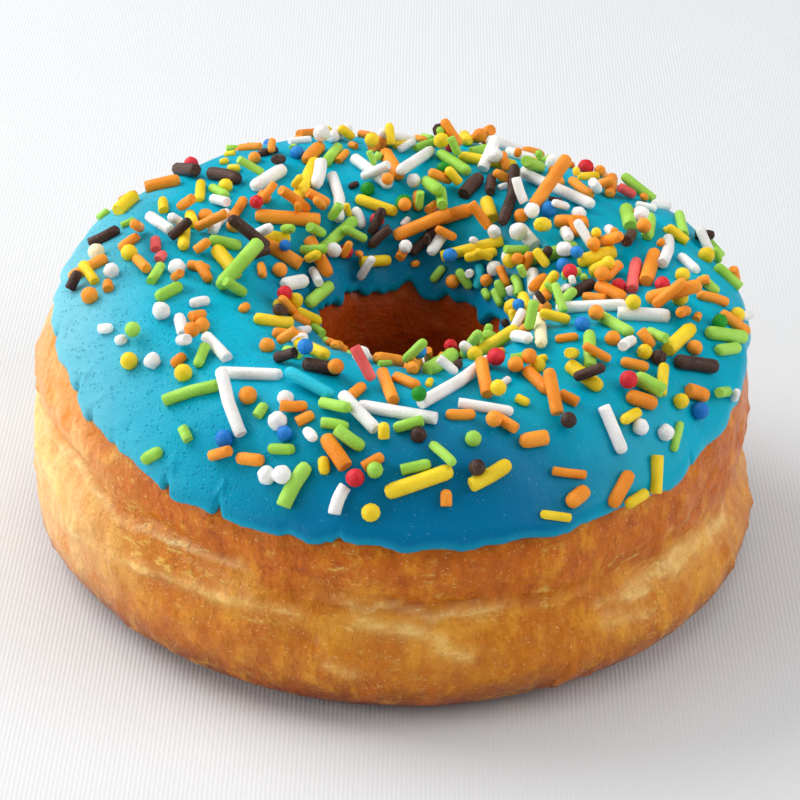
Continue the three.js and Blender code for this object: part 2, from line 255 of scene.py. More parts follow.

# %% [markdown]
# ## From a flat pattern to a ring
#
# The dough and the icing are each one skin that follows the ring surface. Each starts as a flat
# pattern whose X is the angle round the ring, whose Y is the place over the cut, and whose Z is the
# height off the dough. Its last row and column are joined to the first, so it has no open edge. A
# node tree then moves every point of the pattern to its place, and adds the relief of the crust or
# the icing. The ring's sizes are inputs of the tree, and its modifier gives them their values.

# %% A flat pattern whose edges are joined
def flat_pattern(name, rows, steps):
    """rows is a list of (place over the cut, height off the dough)."""
    theta = np.linspace(0, 2 * math.pi, steps, endpoint=False)
    points = np.zeros((len(rows), steps, 3))
    points[:, :, 0] = theta
    points[:, :, 1] = np.array([row[0] for row in rows])[:, None]
    points[:, :, 2] = np.array([row[1] for row in rows])[:, None]
    here = np.arange(len(rows) * steps).reshape(len(rows), steps)
    right, above = np.roll(here, -1, axis=1), np.roll(here, -1, axis=0)
    corner = np.roll(right, -1, axis=0)
    faces = np.stack([here, right, corner, above], axis=-1).reshape(-1, 4)
    mesh = bpy.data.meshes.new(name)
    mesh.from_pydata(points.reshape(-1, 3).tolist(), [], faces.tolist())
    item = bpy.data.objects.new(name, mesh)
    bpy.context.scene.collection.objects.link(item)
    return item


# %% Small helpers for node trees
class Tree:
    """A Geometry Nodes tree with named inputs, each given with its value."""

    def __init__(self, name, sizes):
        self.group = bpy.data.node_groups.new(name, "GeometryNodeTree")
        self.group.is_modifier = True
        face = self.group.interface
        face.new_socket("Geometry", in_out="INPUT", socket_type="NodeSocketGeometry")
        face.new_socket("Geometry", in_out="OUTPUT", socket_type="NodeSocketGeometry")
        self.identifiers = {}
        for label, value in sizes.items():
            kind = "NodeSocketInt" if isinstance(value, int) else "NodeSocketFloat"
            self.identifiers[label] = face.new_socket(label, in_out="INPUT", socket_type=kind).identifier
        self.sizes = sizes
        self.start = self.group.nodes.new("NodeGroupInput")
        self.flow = self.start.outputs["Geometry"]

    def size(self, label):
        return Field(self.group, self.start.outputs[label])

    def node(self, kind, links=None, **settings):
        """A new node. links gives its inputs: Fields and sockets are linked, and values are set."""
        made = self.group.nodes.new(kind)
        for key, value in settings.items():
            setattr(made, key, value)
        for key, value in (links or {}).items():
            if isinstance(value, Field):
                value = value.socket
            if isinstance(value, bpy.types.NodeSocket):
                self.group.links.new(value, made.inputs[key])
            else:
                made.inputs[key].default_value = value
        return made

    def through(self, kind, links=None, into="Geometry", out="Geometry", **settings):
        """Sends the geometry on through one more node."""
        made = self.node(kind, links, **settings)
        self.group.links.new(self.flow, made.inputs[into])
        self.flow = made.outputs[out]
        return made

    def vector(self, x, y, z):
        return self.node("ShaderNodeCombineXYZ", {"X": x, "Y": y, "Z": z}).outputs[0]

    def parts(self, socket):
        node = self.node("ShaderNodeSeparateXYZ", {"Vector": socket})
        return [Field(self.group, output) for output in node.outputs]

    def keep(self, label, field):
        self.through("GeometryNodeStoreNamedAttribute", {"Name": label, "Value": field})

    def kept(self, label):
        node = self.node("GeometryNodeInputNamedAttribute", {"Name": label})
        return Field(self.group, node.outputs["Attribute"])

    def noise(self, place, scale, detail=2.0, roughness=0.5):
        node = self.node(
            "ShaderNodeTexNoise",
            {"Vector": place, "Scale": scale, "Detail": detail, "Roughness": roughness},
        )
        return Field(self.group, node.outputs[0])

    def finish(self, material):
        self.through("GeometryNodeSetShadeSmooth")
        self.through("GeometryNodeRealizeInstances")
        self.through("GeometryNodeSetMaterial", {"Material": material})
        end = self.group.nodes.new("NodeGroupOutput")
        self.group.links.new(self.flow, end.inputs[0])

    def apply(self, item):
        """Runs the tree on item and keeps the result as a plain mesh."""
        modifier = item.modifiers.new(self.group.name, "NODES")
        modifier.node_group = self.group
        for label, value in self.sizes.items():
            modifier[self.identifiers[label]] = value
        graph = bpy.context.evaluated_depsgraph_get()
        made = bpy.data.meshes.new_from_object(
            item.evaluated_get(graph), preserve_all_data_layers=True, depsgraph=graph
        )
        item.modifiers.remove(modifier)
        old, item.data = item.data, made
        bpy.data.meshes.remove(old)
        made.name = item.name
        faces = sum(len(p.vertices) - 2 for p in made.polygons)
        print(f"{item.name}: {len(made.vertices)} points, {faces} triangles")
        return item


# %% [markdown]
# ## Colour helpers
#
# A photo's colours are display values. Blender's colour sockets take linear light, so each colour is
# written as it reads in the picture and turned to linear once. Every pattern is made in millimetres
# from Object coordinates, because the finished pieces sit at the origin, unturned.

# %% Colours and material building blocks
def linear(red, green, blue):
    values = [v / 255 for v in (red, green, blue)]
    return (*[v / 12.92 if v <= 0.04045 else ((v + 0.055) / 1.055) ** 2.4 for v in values], 1.0)


class Finish:
    """A material whose patterns are in millimetres on the object."""

    def __init__(self, name, roughness, sockets=None):
        self.material = bpy.data.materials.new(name)
        self.material.use_nodes = True
        self.tree = self.material.node_tree
        self.shader = self.tree.nodes["Principled BSDF"]
        self.shader.inputs["Roughness"].default_value = roughness
        for label, value in (sockets or {}).items():
            self.shader.inputs[label].default_value = value
        place = self.tree.nodes.new("ShaderNodeTexCoord")
        scaled = self.tree.nodes.new("ShaderNodeVectorMath")
        scaled.operation = "SCALE"
        scaled.inputs["Scale"].default_value = 1000.0
        self.tree.links.new(place.outputs["Object"], scaled.inputs[0])
        self.place = scaled.outputs[0]

    def stretched(self, x, y, z):
        node = self.tree.nodes.new("ShaderNodeMapping")
        node.inputs["Scale"].default_value = (x, y, z)
        self.tree.links.new(self.place, node.inputs["Vector"])
        return node.outputs[0]

    def noise(self, scale, detail=2.0, roughness=0.5, place=None):
        node = self.tree.nodes.new("ShaderNodeTexNoise")
        node.inputs["Scale"].default_value = scale
        node.inputs["Detail"].default_value = detail
        node.inputs["Roughness"].default_value = roughness
        self.tree.links.new(place or self.place, node.inputs["Vector"])
        return Field(self.tree, node.outputs[0])

    def wander(self, scale, size, detail=2.0):
        """Noise that swings by half of size to either side of 0."""
        return (self.noise(scale, detail) - 0.5) * size

    def cells(self, scale):
        node = self.tree.nodes.new("ShaderNodeTexVoronoi")
        node.inputs["Scale"].default_value = scale
        self.tree.links.new(self.place, node.inputs["Vector"])
        return Field(self.tree, node.outputs["Distance"])

    def attribute(self, name):
        node = self.tree.nodes.new("ShaderNodeAttribute")
        node.attribute_name = name
        return Field(self.tree, node.outputs["Fac"])

    def parts(self):
        node = self.tree.nodes.new("ShaderNodeSeparateXYZ")
        self.tree.links.new(self.place, node.inputs[0])
        return [Field(self.tree, output) for output in node.outputs]

    def between(self, value, low, high):
        """0 below low, 1 above high, and a soft step between them."""
        node = self.tree.nodes.new("ShaderNodeMapRange")
        node.interpolation_type = "SMOOTHSTEP"
        node.inputs["From Min"].default_value = low
        node.inputs["From Max"].default_value = high
        self.tree.links.new(value.socket, node.inputs["Value"])
        return Field(self.tree, node.outputs[0])

    def mix(self, share, a, b):
        node = self.tree.nodes.new("ShaderNodeMix")
        node.data_type = "RGBA"
        self.tree.links.new(share.socket, node.inputs["Factor"])
        for slot, value in ((6, a), (7, b)):
            if isinstance(value, bpy.types.NodeSocket):
                self.tree.links.new(value, node.inputs[slot])
            else:
                node.inputs[slot].default_value = value
        return node.outputs[2]

    def colour(self, socket):
        self.tree.links.new(socket, self.shader.inputs["Base Color"])

    def rough(self, field):
        self.tree.links.new(field.socket, self.shader.inputs["Roughness"])

    def relief(self, field, depth_mm):
        """Fine relief that the light feels, of a depth in millimetres."""
        node = self.tree.nodes.new("ShaderNodeBump")
        node.inputs["Distance"].default_value = depth_mm * MM
        self.tree.links.new(field.socket, node.inputs["Height"])
        self.tree.links.new(node.outputs[0], self.shader.inputs["Normal"])


# %% [markdown]
# ## The fried crust's colour
#
# Dough browns where it lay in the fat. The band round the waist never did, so it stays the colour
# of cream. Under the icing's edge, away from the left, the crust is painted deepest brown, partly
# from deeper frying and partly as painted shade under the icing, and it is darker towards the foot.
# The left, where the window's light falls, is painted paler as painted light, and the rest darker
# as painted shade. Fine mottling lies over all of it: amber stains, short fibres, pale flakes along
# the crease, painted glints and dark pores, and the folds and the hole are painted darker as painted
# shade. One way is to paint this by hand. Here the height over the waist, which the dough's tree
# keeps as an attribute, sets the bands, and noise breaks their edges up, so the crust holds from all
# sides.

# %% Colours of the crust
# At the left, painted paler as painted window light, and elsewhere painted darker as painted shade.
CRUST_TONES = {
    "golden": ((236, 180, 112), (208, 120, 16)),
    "brown": ((236, 162, 90), (208, 106, 2)),
    "cream": ((248, 214, 138), (234, 168, 58)),
    "dark": ((234, 132, 14), (174, 80, 0)),
    "light": ((255, 212, 132), (242, 166, 36)),
    "amber": ((238, 134, 10), (202, 102, 0)),
}
# The same on both sides.
CRUST_ACCENTS = {
    "deep brown": (176, 74, 8),
    "foot": (124, 40, 2),
    "red": (158, 58, 6),
    "flake": (252, 204, 98),
    "ridge": (255, 226, 158),
    "pale mark": (255, 214, 128),
    # Painted shade in the folds.
    "fold": (170, 80, 10),
    # Painted glints on the crust.
    "painted_glint": (255, 218, 150),
    # Painted shade in the hole.
    "hole": (170, 58, 4),
}
# Where each begins and where it is full. The first two are heights over the waist, the next two are
# heights over the table, then comes the way to the left and the back, and at last the square of the
# way from the hole's middle, all in millimetres.
BROWN_ABOVE = (-3.0, 3.4)
CREAM_ABOVE = (-12.0, -4.0)
DEEP_BROWN_ABOVE = (24.0, 33.0)
FOOT_BELOW = (1.5, 8.5)
PAINTED_LIGHT_SIDE = (14.0, 38.0)
OUT_OF_HOLE = (230.0, 620.0)


# %% The bands of browning
def browned(crust, tones, z, above, painted_shade_side):
    """The colour by height, and how much of the upper bulge and of the pale band is in it."""
    upper = crust.between(above, *BROWN_ABOVE)
    band = (1.0 - upper) * crust.between(above, *CREAM_ABOVE)
    patches = crust.noise(0.1, 3.0, 0.6, place=crust.stretched(0.7, 0.7, 1.2))
    patches = crust.between(patches, 0.43, 0.58)
    cream = band * (patches * 0.6 + (1.0 - painted_shade_side) * 0.4)
    base = crust.mix(cream, tones["golden"], tones["cream"])
    base = crust.mix(upper * 0.9, base, tones["brown"])
    # Deep brown under the icing's edge, away from the left: partly deeper frying and partly painted shade
    # under the icing.
    deep = crust.between(z + crust.wander(0.09, 8.0, 3.0), *DEEP_BROWN_ABOVE) * painted_shade_side
    base = crust.mix(deep * 0.5, base, tones["deep brown"])
    foot = 1.0 - crust.between(z + crust.wander(0.2, 5.0, 3.0), *FOOT_BELOW)
    return crust.mix(foot, base, tones["foot"]), upper, band


# %% Mottling, amber stains and fibres
def mottled(crust, tones, base, upper, band, painted_shade_side, fibres):
    """Darker and lighter spots a few millimetres wide. The mottling is given for the relief too."""
    slanted = crust.stretched(1.0, 1.0, 0.55)
    mottle = crust.noise(0.42, 6.0, 0.62, place=slanted)
    darker = 1.0 - crust.between(mottle, 0.34, 0.5)
    base = crust.mix(darker * (0.58 - band * 0.3), base, tones["dark"])
    base = crust.mix(crust.between(mottle, 0.5, 0.66) * 0.5, base, tones["light"])
    stains = crust.between(crust.noise(0.3, 3.0, 0.55, place=slanted), 0.52, 0.64)
    stains = stains * (0.7 - band * 0.4)
    stains = stains * (0.4 + crust.between(crust.noise(0.07, 1.0), 0.45, 0.6) * 0.6)
    base = crust.mix(stains, base, tones["amber"])
    # Red-brown patches on the upper bulge, kept to the part painted in shade.
    red = crust.between(crust.noise(0.6, 3.0, 0.6), 0.54, 0.66)
    base = crust.mix(red * upper * painted_shade_side * 0.38, base, tones["red"])
    return crust.mix(crust.between(fibres, 0.5, 0.75) * 0.25, base, tones["dark"]), mottle


# %% Flakes, pale marks, painted shade in folds, painted glints and pores
def flaked(crust, tones, base, above):
    """Small things on the crust, with painted shade in its folds and painted glints. The flakes are given
    for the relief too.
    """
    patch = crust.between(crust.noise(0.14, 2.0), 0.46, 0.6)
    smear = crust.noise(0.8, 5.0, 0.72, place=crust.stretched(0.5, 0.5, 1.2))
    smear = crust.between(smear, 0.52, 0.66)
    near_crease = crust.between(above, -10.0, -1.0) * (1.0 - crust.between(above, 1.0, 7.0))
    base = crust.mix(smear * patch * (near_crease * 0.5 + 0.3), base, tones["flake"])
    base = crust.mix(crust.attribute("ridge") * (0.4 + smear * 0.5), base, tones["ridge"])
    mark = crust.attribute("pale")
    ragged = crust.noise(0.8, 6.0, 0.75, place=crust.stretched(0.6, 0.6, 1.2))
    ragged = crust.between(mark + (ragged - 0.5) * 2.6, 0.5, 1.3)
    base = crust.mix(mark * 0.3 + ragged * mark * 0.45, base, tones["pale mark"])
    # The folds are painted darker, as painted shade in them.
    base = crust.mix(crust.attribute("fold") * 0.45, base, tones["fold"])
    # Small pale spots are painted glints, as if from the crust's gloss.
    painted_glint = crust.between(crust.noise(2.6, 2.0), 0.64, 0.74)
    base = crust.mix(painted_glint * 0.5, base, tones["painted_glint"])
    pore = crust.noise(1.7, 2.0, place=crust.stretched(1.0, 1.0, 0.8))
    pore = crust.between(pore, 0.62, 0.72)
    return crust.mix(pore * 0.35, base, tones["dark"]), smear * patch


# %% The crust's material
CRUST_SHADER = {
    "Specular IOR Level": 0.15,
    "Subsurface Weight": 0.12,
    "Subsurface Radius": (1.0, 0.4, 0.12),
    "Subsurface Scale": 1.4 * MM,
    "Coat Weight": 0.22,
    "Coat Roughness": 0.15,
}
CRUST_RELIEF = 0.7


def crust_finish():
    crust = Finish("fried crust", 0.4, CRUST_SHADER)
    x, y, z = crust.parts()
    # This share is 0 at the left and 1 elsewhere: every crust tone is painted paler at the left as
    # painted window light, and darker elsewhere as painted shade.
    painted_shade_side = 1.0 - crust.between(y * 0.4 - x, *PAINTED_LIGHT_SIDE)
    tones = {name: linear(*colour) for name, colour in CRUST_ACCENTS.items()}
    for name, (pale, dark) in CRUST_TONES.items():
        tones[name] = crust.mix(painted_shade_side, linear(*pale), linear(*dark))
    fibres = crust.noise(1.0, 4.0, 0.65, place=crust.stretched(0.22, 0.22, 1.0))
    above = crust.attribute("above_waist") + (fibres - 0.5) * 7.0 + crust.wander(0.11, 9.0)

    base, upper, band = browned(crust, tones, z, above, painted_shade_side)
    base, mottle = mottled(crust, tones, base, upper, band, painted_shade_side, fibres)
    base, flakes = flaked(crust, tones, base, above)
    # Round the hole the crust is painted darker, as painted shade in the hole.
    from_hole = (x - RING["Hole shift X"]) ** 2.0 + (y - RING["Hole shift Y"]) ** 2.0
    in_hole = 1.0 - crust.between(from_hole, *OUT_OF_HOLE)
    crust.colour(crust.mix(in_hole * 0.85, base, tones["hole"]))

    crust.rough(0.26 + crust.noise(0.8, 3.0) * 0.25)
    grain = mottle * 1.1 + crust.noise(1.6, 3.0, 0.6) * 0.45 + flakes * 0.12
    crust.relief(grain - crust.between(crust.cells(0.75), 0.0, 0.5) * 0.15, CRUST_RELIEF)
    return crust.material


crust_material = crust_finish()
print("made", crust_material.name, "with", len(crust_material.node_tree.nodes), "nodes")

# %% [markdown]
# ## The dough
#
# The crust isn't smooth. It has shallow blisters a few millimetres wide, soft wrinkles that run round
# the waist, where the dough rose and pulled, a crease there with a pale ridge below it, and a few
# longer folds. These are real relief here, not only shading: the tree pushes each point along its
# normal by noise of a stated size and height. It also keeps where the crease, the folds and the pale
# marks are as attributes of the mesh, so that the material can colour just those.

# %% Folds of the crust, by the angles of their ends
# Round the ring and up the cut in degrees, the width in millimetres and the depth in millimetres.
FOLDS = [
    (-128, -4, -101, -9, 0.9, 0.45),
    (-9, 12, -21.5, 4, 0.5, 0.45),
    (-8, 20, -29, 11.5, 0.5, 0.45),
    (-14, 27, -34.5, 9, 0.5, 0.45),
    (-26.5, 22.5, -40, 5.5, 0.55, 0.4),
    (-3, 2, -15, -8, 0.5, 0.35),
    (-103.5, 3.5, -88.5, 4.5, 0.6, 0.3),
    (-88.5, 4.5, -75.5, 6.5, 0.6, 0.3),
    (-70, 3, -48, 7, 0.8, 0.25),
    (40, 20, 62, 6, 0.9, 0.4),
    (118, 14, 95, 4, 0.9, 0.4),
    (160, 22, 172, 5, 0.8, 0.35),
]
# Pale ridges and flakes, in the same way. The last number is how strongly they show.
PALE_MARKS = [
    (-178, 11, -166, 7, 0.8, 1.0),
    (-166, 7, -155.5, 2, 0.8, 1.0),
    (-155.5, 2, -150.5, -9, 0.8, 0.9),
    (-150.5, -9, -132, -3, 0.9, 1.0),
    (-132, -3, -115.5, -1, 0.9, 1.0),
    (-115.5, -1, -103.5, 0.5, 0.8, 0.9),
    (-94, -0.5, -88, -3.5, 1.0, 1.0),
    (-87, -2.5, -82, -7, 1.0, 1.0),
    (-82.5, -10.5, -78, -15, 0.9, 1.0),
    (-98.5, -19, -95, -22.5, 0.9, 0.9),
    (-77.5, 2, -73, 2.5, 0.6, 0.9),
    (-49, -8, -38, -8, 1.6, 1.0),
    (-38, -8, -20, -13, 2.0, 1.0),
    (-56, -7.5, -46, -12, 0.9, 0.8),
    (-55.5, -15, -46, -20.5, 0.9, 0.8),
    (70, 4, 96, 2, 1.2, 0.9),
    (128, -6, 150, -2, 1.4, 0.9),
]


def fold_depth(place, fold):
    theta1, phi1, theta2, phi2, width, depth = fold
    a = np.array(ring_point(np.radians(theta1), np.radians(phi1), 0.0))
    b = np.array(ring_point(np.radians(theta2), np.radians(phi2), 0.0))
    way = b - a
    off = [field - float(v) for field, v in zip(place, a)]
    along = sum((o * float(w) for o, w in zip(off, way)), 0.0) / float(way @ way)
    share = smaller(larger(along, 0.0), 1.0)
    gaps = [o - share * float(w) for o, w in zip(off, way)]
    apart = gaps[0] * gaps[0] + gaps[1] * gaps[1] + gaps[2] * gaps[2]
    return depth * exponential(-(apart / width**2))


# %% Helpers that bend a flat pattern and give it relief
def wrap_round_ring(tree):
    """Keeps the two angles of each point, and moves the flat pattern to the ring."""
    theta, phi, lift = tree.parts(tree.node("GeometryNodeInputPosition").outputs[0])
    tree.keep("around", theta)
    tree.keep("over", phi)
    ring = {label: tree.size(label) for label in RING}
    place = ring_point(theta, phi, lift, ring)
    metres = tree.vector(*[part * MM for part in place])
    tree.through("GeometryNodeSetPosition", {"Position": metres})


def push_out(tree, height_mm):
    normal = tree.node("GeometryNodeInputNormal").outputs[0]
    scaled = tree.node("ShaderNodeVectorMath", {0: normal, "Scale": height_mm * MM}, operation="SCALE")
    tree.through("GeometryNodeSetPosition", {"Offset": scaled.outputs[0]})


def millimetres(tree):
    position = tree.node("GeometryNodeInputPosition").outputs[0]
    scaled = tree.node("ShaderNodeVectorMath", {0: position, "Scale": 1000.0}, operation="SCALE")
    return scaled.outputs[0]


def squeezed(tree, place, x, y, z):
    return tree.node("ShaderNodeVectorMath", {0: place, 1: (x, y, z)}, operation="MULTIPLY").outputs[0]


# %% The crease at the waist
# Round the ring from SMOOTH_SIDE, the crease is hardly seen. The other values are in millimetres.
SMOOTH_SIDE, SMOOTH_SIDE_WIDTH = degrees(312), degrees(26)
CREASE_ROUND_RADIUS = 30.0
CREASE_WANDER, CREASE_WIDTH = 7.0, 0.5
RIDGE_BELOW_CREASE, RIDGE_WIDTH = 0.95, 0.45


def waist_crease(tree, z, phi):
    """How high each point is over the waist, and how much crease and ridge there is."""
    around = tree.kept("around")
    sideways, forwards = cosine(around) * CREASE_ROUND_RADIUS, sine(around) * CREASE_ROUND_RADIUS
    round_ring = tree.vector(sideways, forwards, 0.0)
    wander = (tree.noise(round_ring, 0.12, 3.0, 0.6) - 0.5) * CREASE_WANDER
    waist = tree.size("Waist height") - tree.size("Waist swing") * cosine(around)
    above = z - waist + wander
    broken = smooth_step((tree.noise(round_ring, 0.07, 2.0) - 0.34) * 5.0)
    outside = smooth_step((0.9 - phi) * 4.0)
    from_smooth_side = (around - SMOOTH_SIDE) / SMOOTH_SIDE_WIDTH
    strength = broken * outside * (1.0 - 0.8 * exponential(-(from_smooth_side**2.0)))
    crease = exponential(-((above / CREASE_WIDTH) ** 2.0)) * strength
    ridge = exponential(-(((above + RIDGE_BELOW_CREASE) / RIDGE_WIDTH) ** 2.0)) * strength
    return above, crease, ridge


# %% The tree that wraps the dough round the ring
RELIEF = {
    "Blister height": 0.6,
    "Blister spacing": 3.6,
    "Wrinkle depth": 0.6,
    "Lump height": 0.5,
    "Pimple height": 0.14,
    "Crease depth": 0.55,
    "Ridge height": 0.4,
}
# The cut's angles, in radians, between which the icing covers the dough and there is no relief.
COVERED_FROM, COVERED_TO = 0.55, 2.5


def blisters_and_wrinkles(tree, place, above):
    """The relief that noise makes, in millimetres."""
    lumps = (tree.noise(place, 0.085, 2.0) - 0.5) * 2.0 * tree.size("Lump height")
    cell = tree.node(
        "ShaderNodeTexVoronoi",
        {"Vector": place, "Scale": 1.0 / tree.size("Blister spacing")},
        feature="SMOOTH_F1",
    )
    dome = 1.0 - smooth_step(Field(tree.group, cell.outputs["Distance"]) / 0.55)
    patchy = smooth_step((tree.noise(place, 0.16, 1.0) - 0.42) * 5.0)
    blisters = dome * patchy * tree.size("Blister height")
    wrinkle = tree.noise(squeezed(tree, place, 0.3, 0.3, 1.0), 0.42, 3.0, 0.6) - 0.5
    near_waist = exponential(-((above / 8.0) ** 2.0))
    wrinkles = wrinkle * 2.0 * tree.size("Wrinkle depth") * (near_waist * 0.75 + 0.25)
    pimples = (tree.noise(place, 0.95, 2.0, 0.6) - 0.5) * 2.0 * tree.size("Pimple height")
    return lumps + blisters + wrinkles + pimples


def dough_tree():
    tree = Tree("wrap and blister the dough", RING | RELIEF)
    wrap_round_ring(tree)
    place = millimetres(tree)
    x, y, z = tree.parts(place)
    phi = tree.kept("over")
    covered = smooth_step((phi - COVERED_FROM) * 6.0) * smooth_step((COVERED_TO - phi) * 6.0)
    off_table = smooth_step(z / 4.0)
    above, crease, ridge = waist_crease(tree, z, phi)
    tree.keep("above_waist", above)
    tree.keep("ridge", ridge)
    folds = sum((fold_depth((x, y, z), fold) for fold in FOLDS), 0.0)
    tree.keep("fold", smaller(folds / 0.5, 1.0))
    marks = sum((fold_depth((x, y, z), mark) for mark in PALE_MARKS), 0.0)
    tree.keep("pale", smaller(marks, 1.0))
    at_waist = (ridge + marks * 0.6) * tree.size("Ridge height") - crease * tree.size("Crease depth")
    height = blisters_and_wrinkles(tree, place, above) + at_waist - folds
    push_out(tree, height * (1.0 - covered) * off_table)
    return tree


# %% The dough's piece
DOUGH_STEPS, DOUGH_ROWS = 540, 172
dough_rows = [(2 * math.pi * row / DOUGH_ROWS, 0.0) for row in range(DOUGH_ROWS)]
dough = flat_pattern("fried_ring", dough_rows, DOUGH_STEPS)
tree = dough_tree()
tree.finish(crust_material)
tree.apply(dough)
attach(dough, "root")
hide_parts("dough")

# %% [markdown]
# ## The icing's colour
#
# Set sugar icing is an opaque satin skin. On the slopes at the front and in the hole its blue is
# painted deep, as painted shade. At the left it dried first and is grainy, with pits a third of a
# millimetre wide, and further left a painted sheen makes it pale. Pits this small would need far too
# many faces, so they are fine relief in the material, and they are painted a little darker as painted
# shade. The rounded rim is painted lighter as a painted highlight, and a few painted glints stand for
# sparkling sugar in the smooth part.

# %% Colours and places of the icing
ICING_BLUES = {
    "cloudy": (0, 160, 188),
    "clear": (0, 170, 198),
    # Painted shade on the slopes at the front.
    "front_shade": (0, 98, 148),
    # Painted shade in the hole.
    "hole": (0, 100, 146),
    # A painted highlight on the rounded rim.
    "rim": (0, 182, 212),
    # A painted sheen at the left.
    "painted_sheen": (150, 206, 214),
    # Painted shade in the pits.
    "pit": (0, 130, 172),
    # Painted glints.
    "icing_glint": (150, 220, 235),
}
# Where each begins and where it is full. These are ways towards the front and towards the left, in
# millimetres, then the cut's angle in radians, and the way from the icing's edge.
PAINTED_SHADE_FRONT = (22.0, 43.0)
DRY_LEFT = (0.0, 22.0)
PAINTED_SHEEN_LEFT = (27.0, 48.0)
INTO_HOLE = (math.radians(108), math.radians(132))
RIM_WIDTH = (0.3, 1.8)
ICING_SHADER = {
    "Specular IOR Level": 0.1,
    "Subsurface Weight": 0.08,
    "Subsurface Radius": (0.25, 0.7, 1.0),
    "Subsurface Scale": 0.8 * MM,
}
ICING_RELIEF = 0.24


# %% The icing's material
def icing_finish():
    icing = Finish("blue icing", 0.36, ICING_SHADER)
    blues = {name: linear(*colour) for name, colour in ICING_BLUES.items()}
    x, y, _ = icing.parts()
    cloud = icing.between(icing.noise(0.07, 3.0), 0.35, 0.65)
    base = icing.mix(cloud, blues["cloudy"], blues["clear"])
    # The slopes that face the front are painted a deeper blue, as painted shade.
    facing = smaller(x, 0.0) * 0.4 - y - larger(x - 12.0, 0.0) * 0.5 + icing.wander(0.06, 20.0)
    base = icing.mix(icing.between(facing, *PAINTED_SHADE_FRONT) * 0.85, base, blues["front_shade"])
    # Where the icing turns into the hole its blue is painted deeper, as painted shade.
    into_hole = icing.between(icing.attribute("over"), *INTO_HOLE)
    base = icing.mix(into_hole * 0.75, base, blues["hole"])
    # The rounded rim is painted a lighter blue, as a painted highlight.
    rim = 1.0 - icing.between(icing.attribute("from_edge"), *RIM_WIDTH)
    base = icing.mix(rim * 0.35, base, blues["rim"])

    dry = icing.between(icing.wander(0.1, 30.0) - x + y * 0.15, *DRY_LEFT)
    pit = 1.0 - icing.between(icing.cells(1.75), 0.1, 0.36)
    pit = pit * icing.between(icing.noise(0.9, 2.0), 0.4, 0.56)
    # At the left the icing is painted pale, as a painted sheen from the window.
    painted_sheen = icing.between(y * -0.1 - x + icing.wander(0.08, 12.0), *PAINTED_SHEEN_LEFT)
    base = icing.mix(painted_sheen * 0.55, base, blues["painted_sheen"])
    # The pits are painted a little darker, as painted shade in them.
    base = icing.mix(pit * dry * 0.32, base, blues["pit"])
    # Pale spots in the smooth part are painted glints.
    icing_glint = icing.between(icing.noise(4.6, 0.0), 0.81, 0.84)
    icing.colour(icing.mix(icing_glint * 0.4, base, blues["icing_glint"]))

    icing.rough(0.3 + dry * 0.08 + icing.noise(0.5, 2.0) * 0.08)
    grain = icing.noise(3.4, 2.0, 0.6) * (dry * 0.4 + 0.05) + icing.noise(0.6, 2.0) * 0.25
    icing.relief(grain - pit * (dry * 0.45 + 0.03), ICING_RELIEF)
    return icing.material


icing_material = icing_finish()
print("made", icing_material.name, "with", len(icing_material.node_tree.nodes), "nodes")

# %% [markdown]
# ## The icing
#
# The icing is a skin about a millimetre and a half thick with a rounded rim, like a drop that stopped
# running. It could be cut from the dough's own surface, but then its rim would be as ragged as the
# mesh. Here it is its own flat pattern: the rows at both ends of the pattern draw the round rim, and
# the tree slides each row between the two wavy edges. Its underside goes a little way into the dough,
# so no gap shows. Scallops and small notches in the edge are where the icing broke as it was dipped.

# %% The rows of the icing's pattern
RIM_SHARE = 0.026
UNDERSIDE = -0.3
RIM_MIDDLE = 0.45
RIM_ROWS = 7


def rim_rows():
    """From under the rim round to its top: (share of the way over, share of full height)."""
    rows = []
    for turn in np.linspace(-90, 90, 2 * RIM_ROWS + 1):
        a = math.radians(turn)
        tuck = RIM_SHARE if turn > 0 else RIM_SHARE * 0.6
        reach = 1 - RIM_MIDDLE if turn > 0 else RIM_MIDDLE - UNDERSIDE
        rows.append((tuck * (1 - math.cos(a)), RIM_MIDDLE + math.sin(a) * reach))
    return rows


TOP_ROWS = 64
UNDER_ROWS = 8
rim = rim_rows()
over_top = [(share, 1.0) for share in np.linspace(RIM_SHARE, 1 - RIM_SHARE, TOP_ROWS + 2)[1:-1]]
inner_rim = [(1 - share, height) for share, height in reversed(rim)]
under = [(share, UNDERSIDE) for share in np.linspace(1 - rim[0][0], rim[0][0], UNDER_ROWS + 2)[1:-1]]
icing_rows = rim + over_top + inner_rim + under
print("icing rows:", len(icing_rows))

# %% Notches in the icing's outer edge
# The angle, half the width and the depth, in degrees.
NOTCHES = [
    (-167, 0.9, 2.2),
    (-153.5, 0.8, 3.0),
    (-147.3, 0.7, 2.6),
    (-140, 1.1, 1.4),
    (-127.2, 0.9, 4.2),
    (-117.4, 0.6, 4.0),
    (-104.5, 1.8, 1.6),
    (-97.5, 0.7, 1.4),
    (-36.2, 0.5, 3.4),
    (23, 0.8, 2.4),
    (71, 0.7, 3.0),
    (124, 1.0, 2.6),
]


def notches(theta):
    total = 0.0
    for angle, half_width, depth in NOTCHES:
        off = (theta - degrees(angle % 360)) / degrees(half_width)
        total = total + degrees(depth) * exponential(-(off**4.0))
    return total


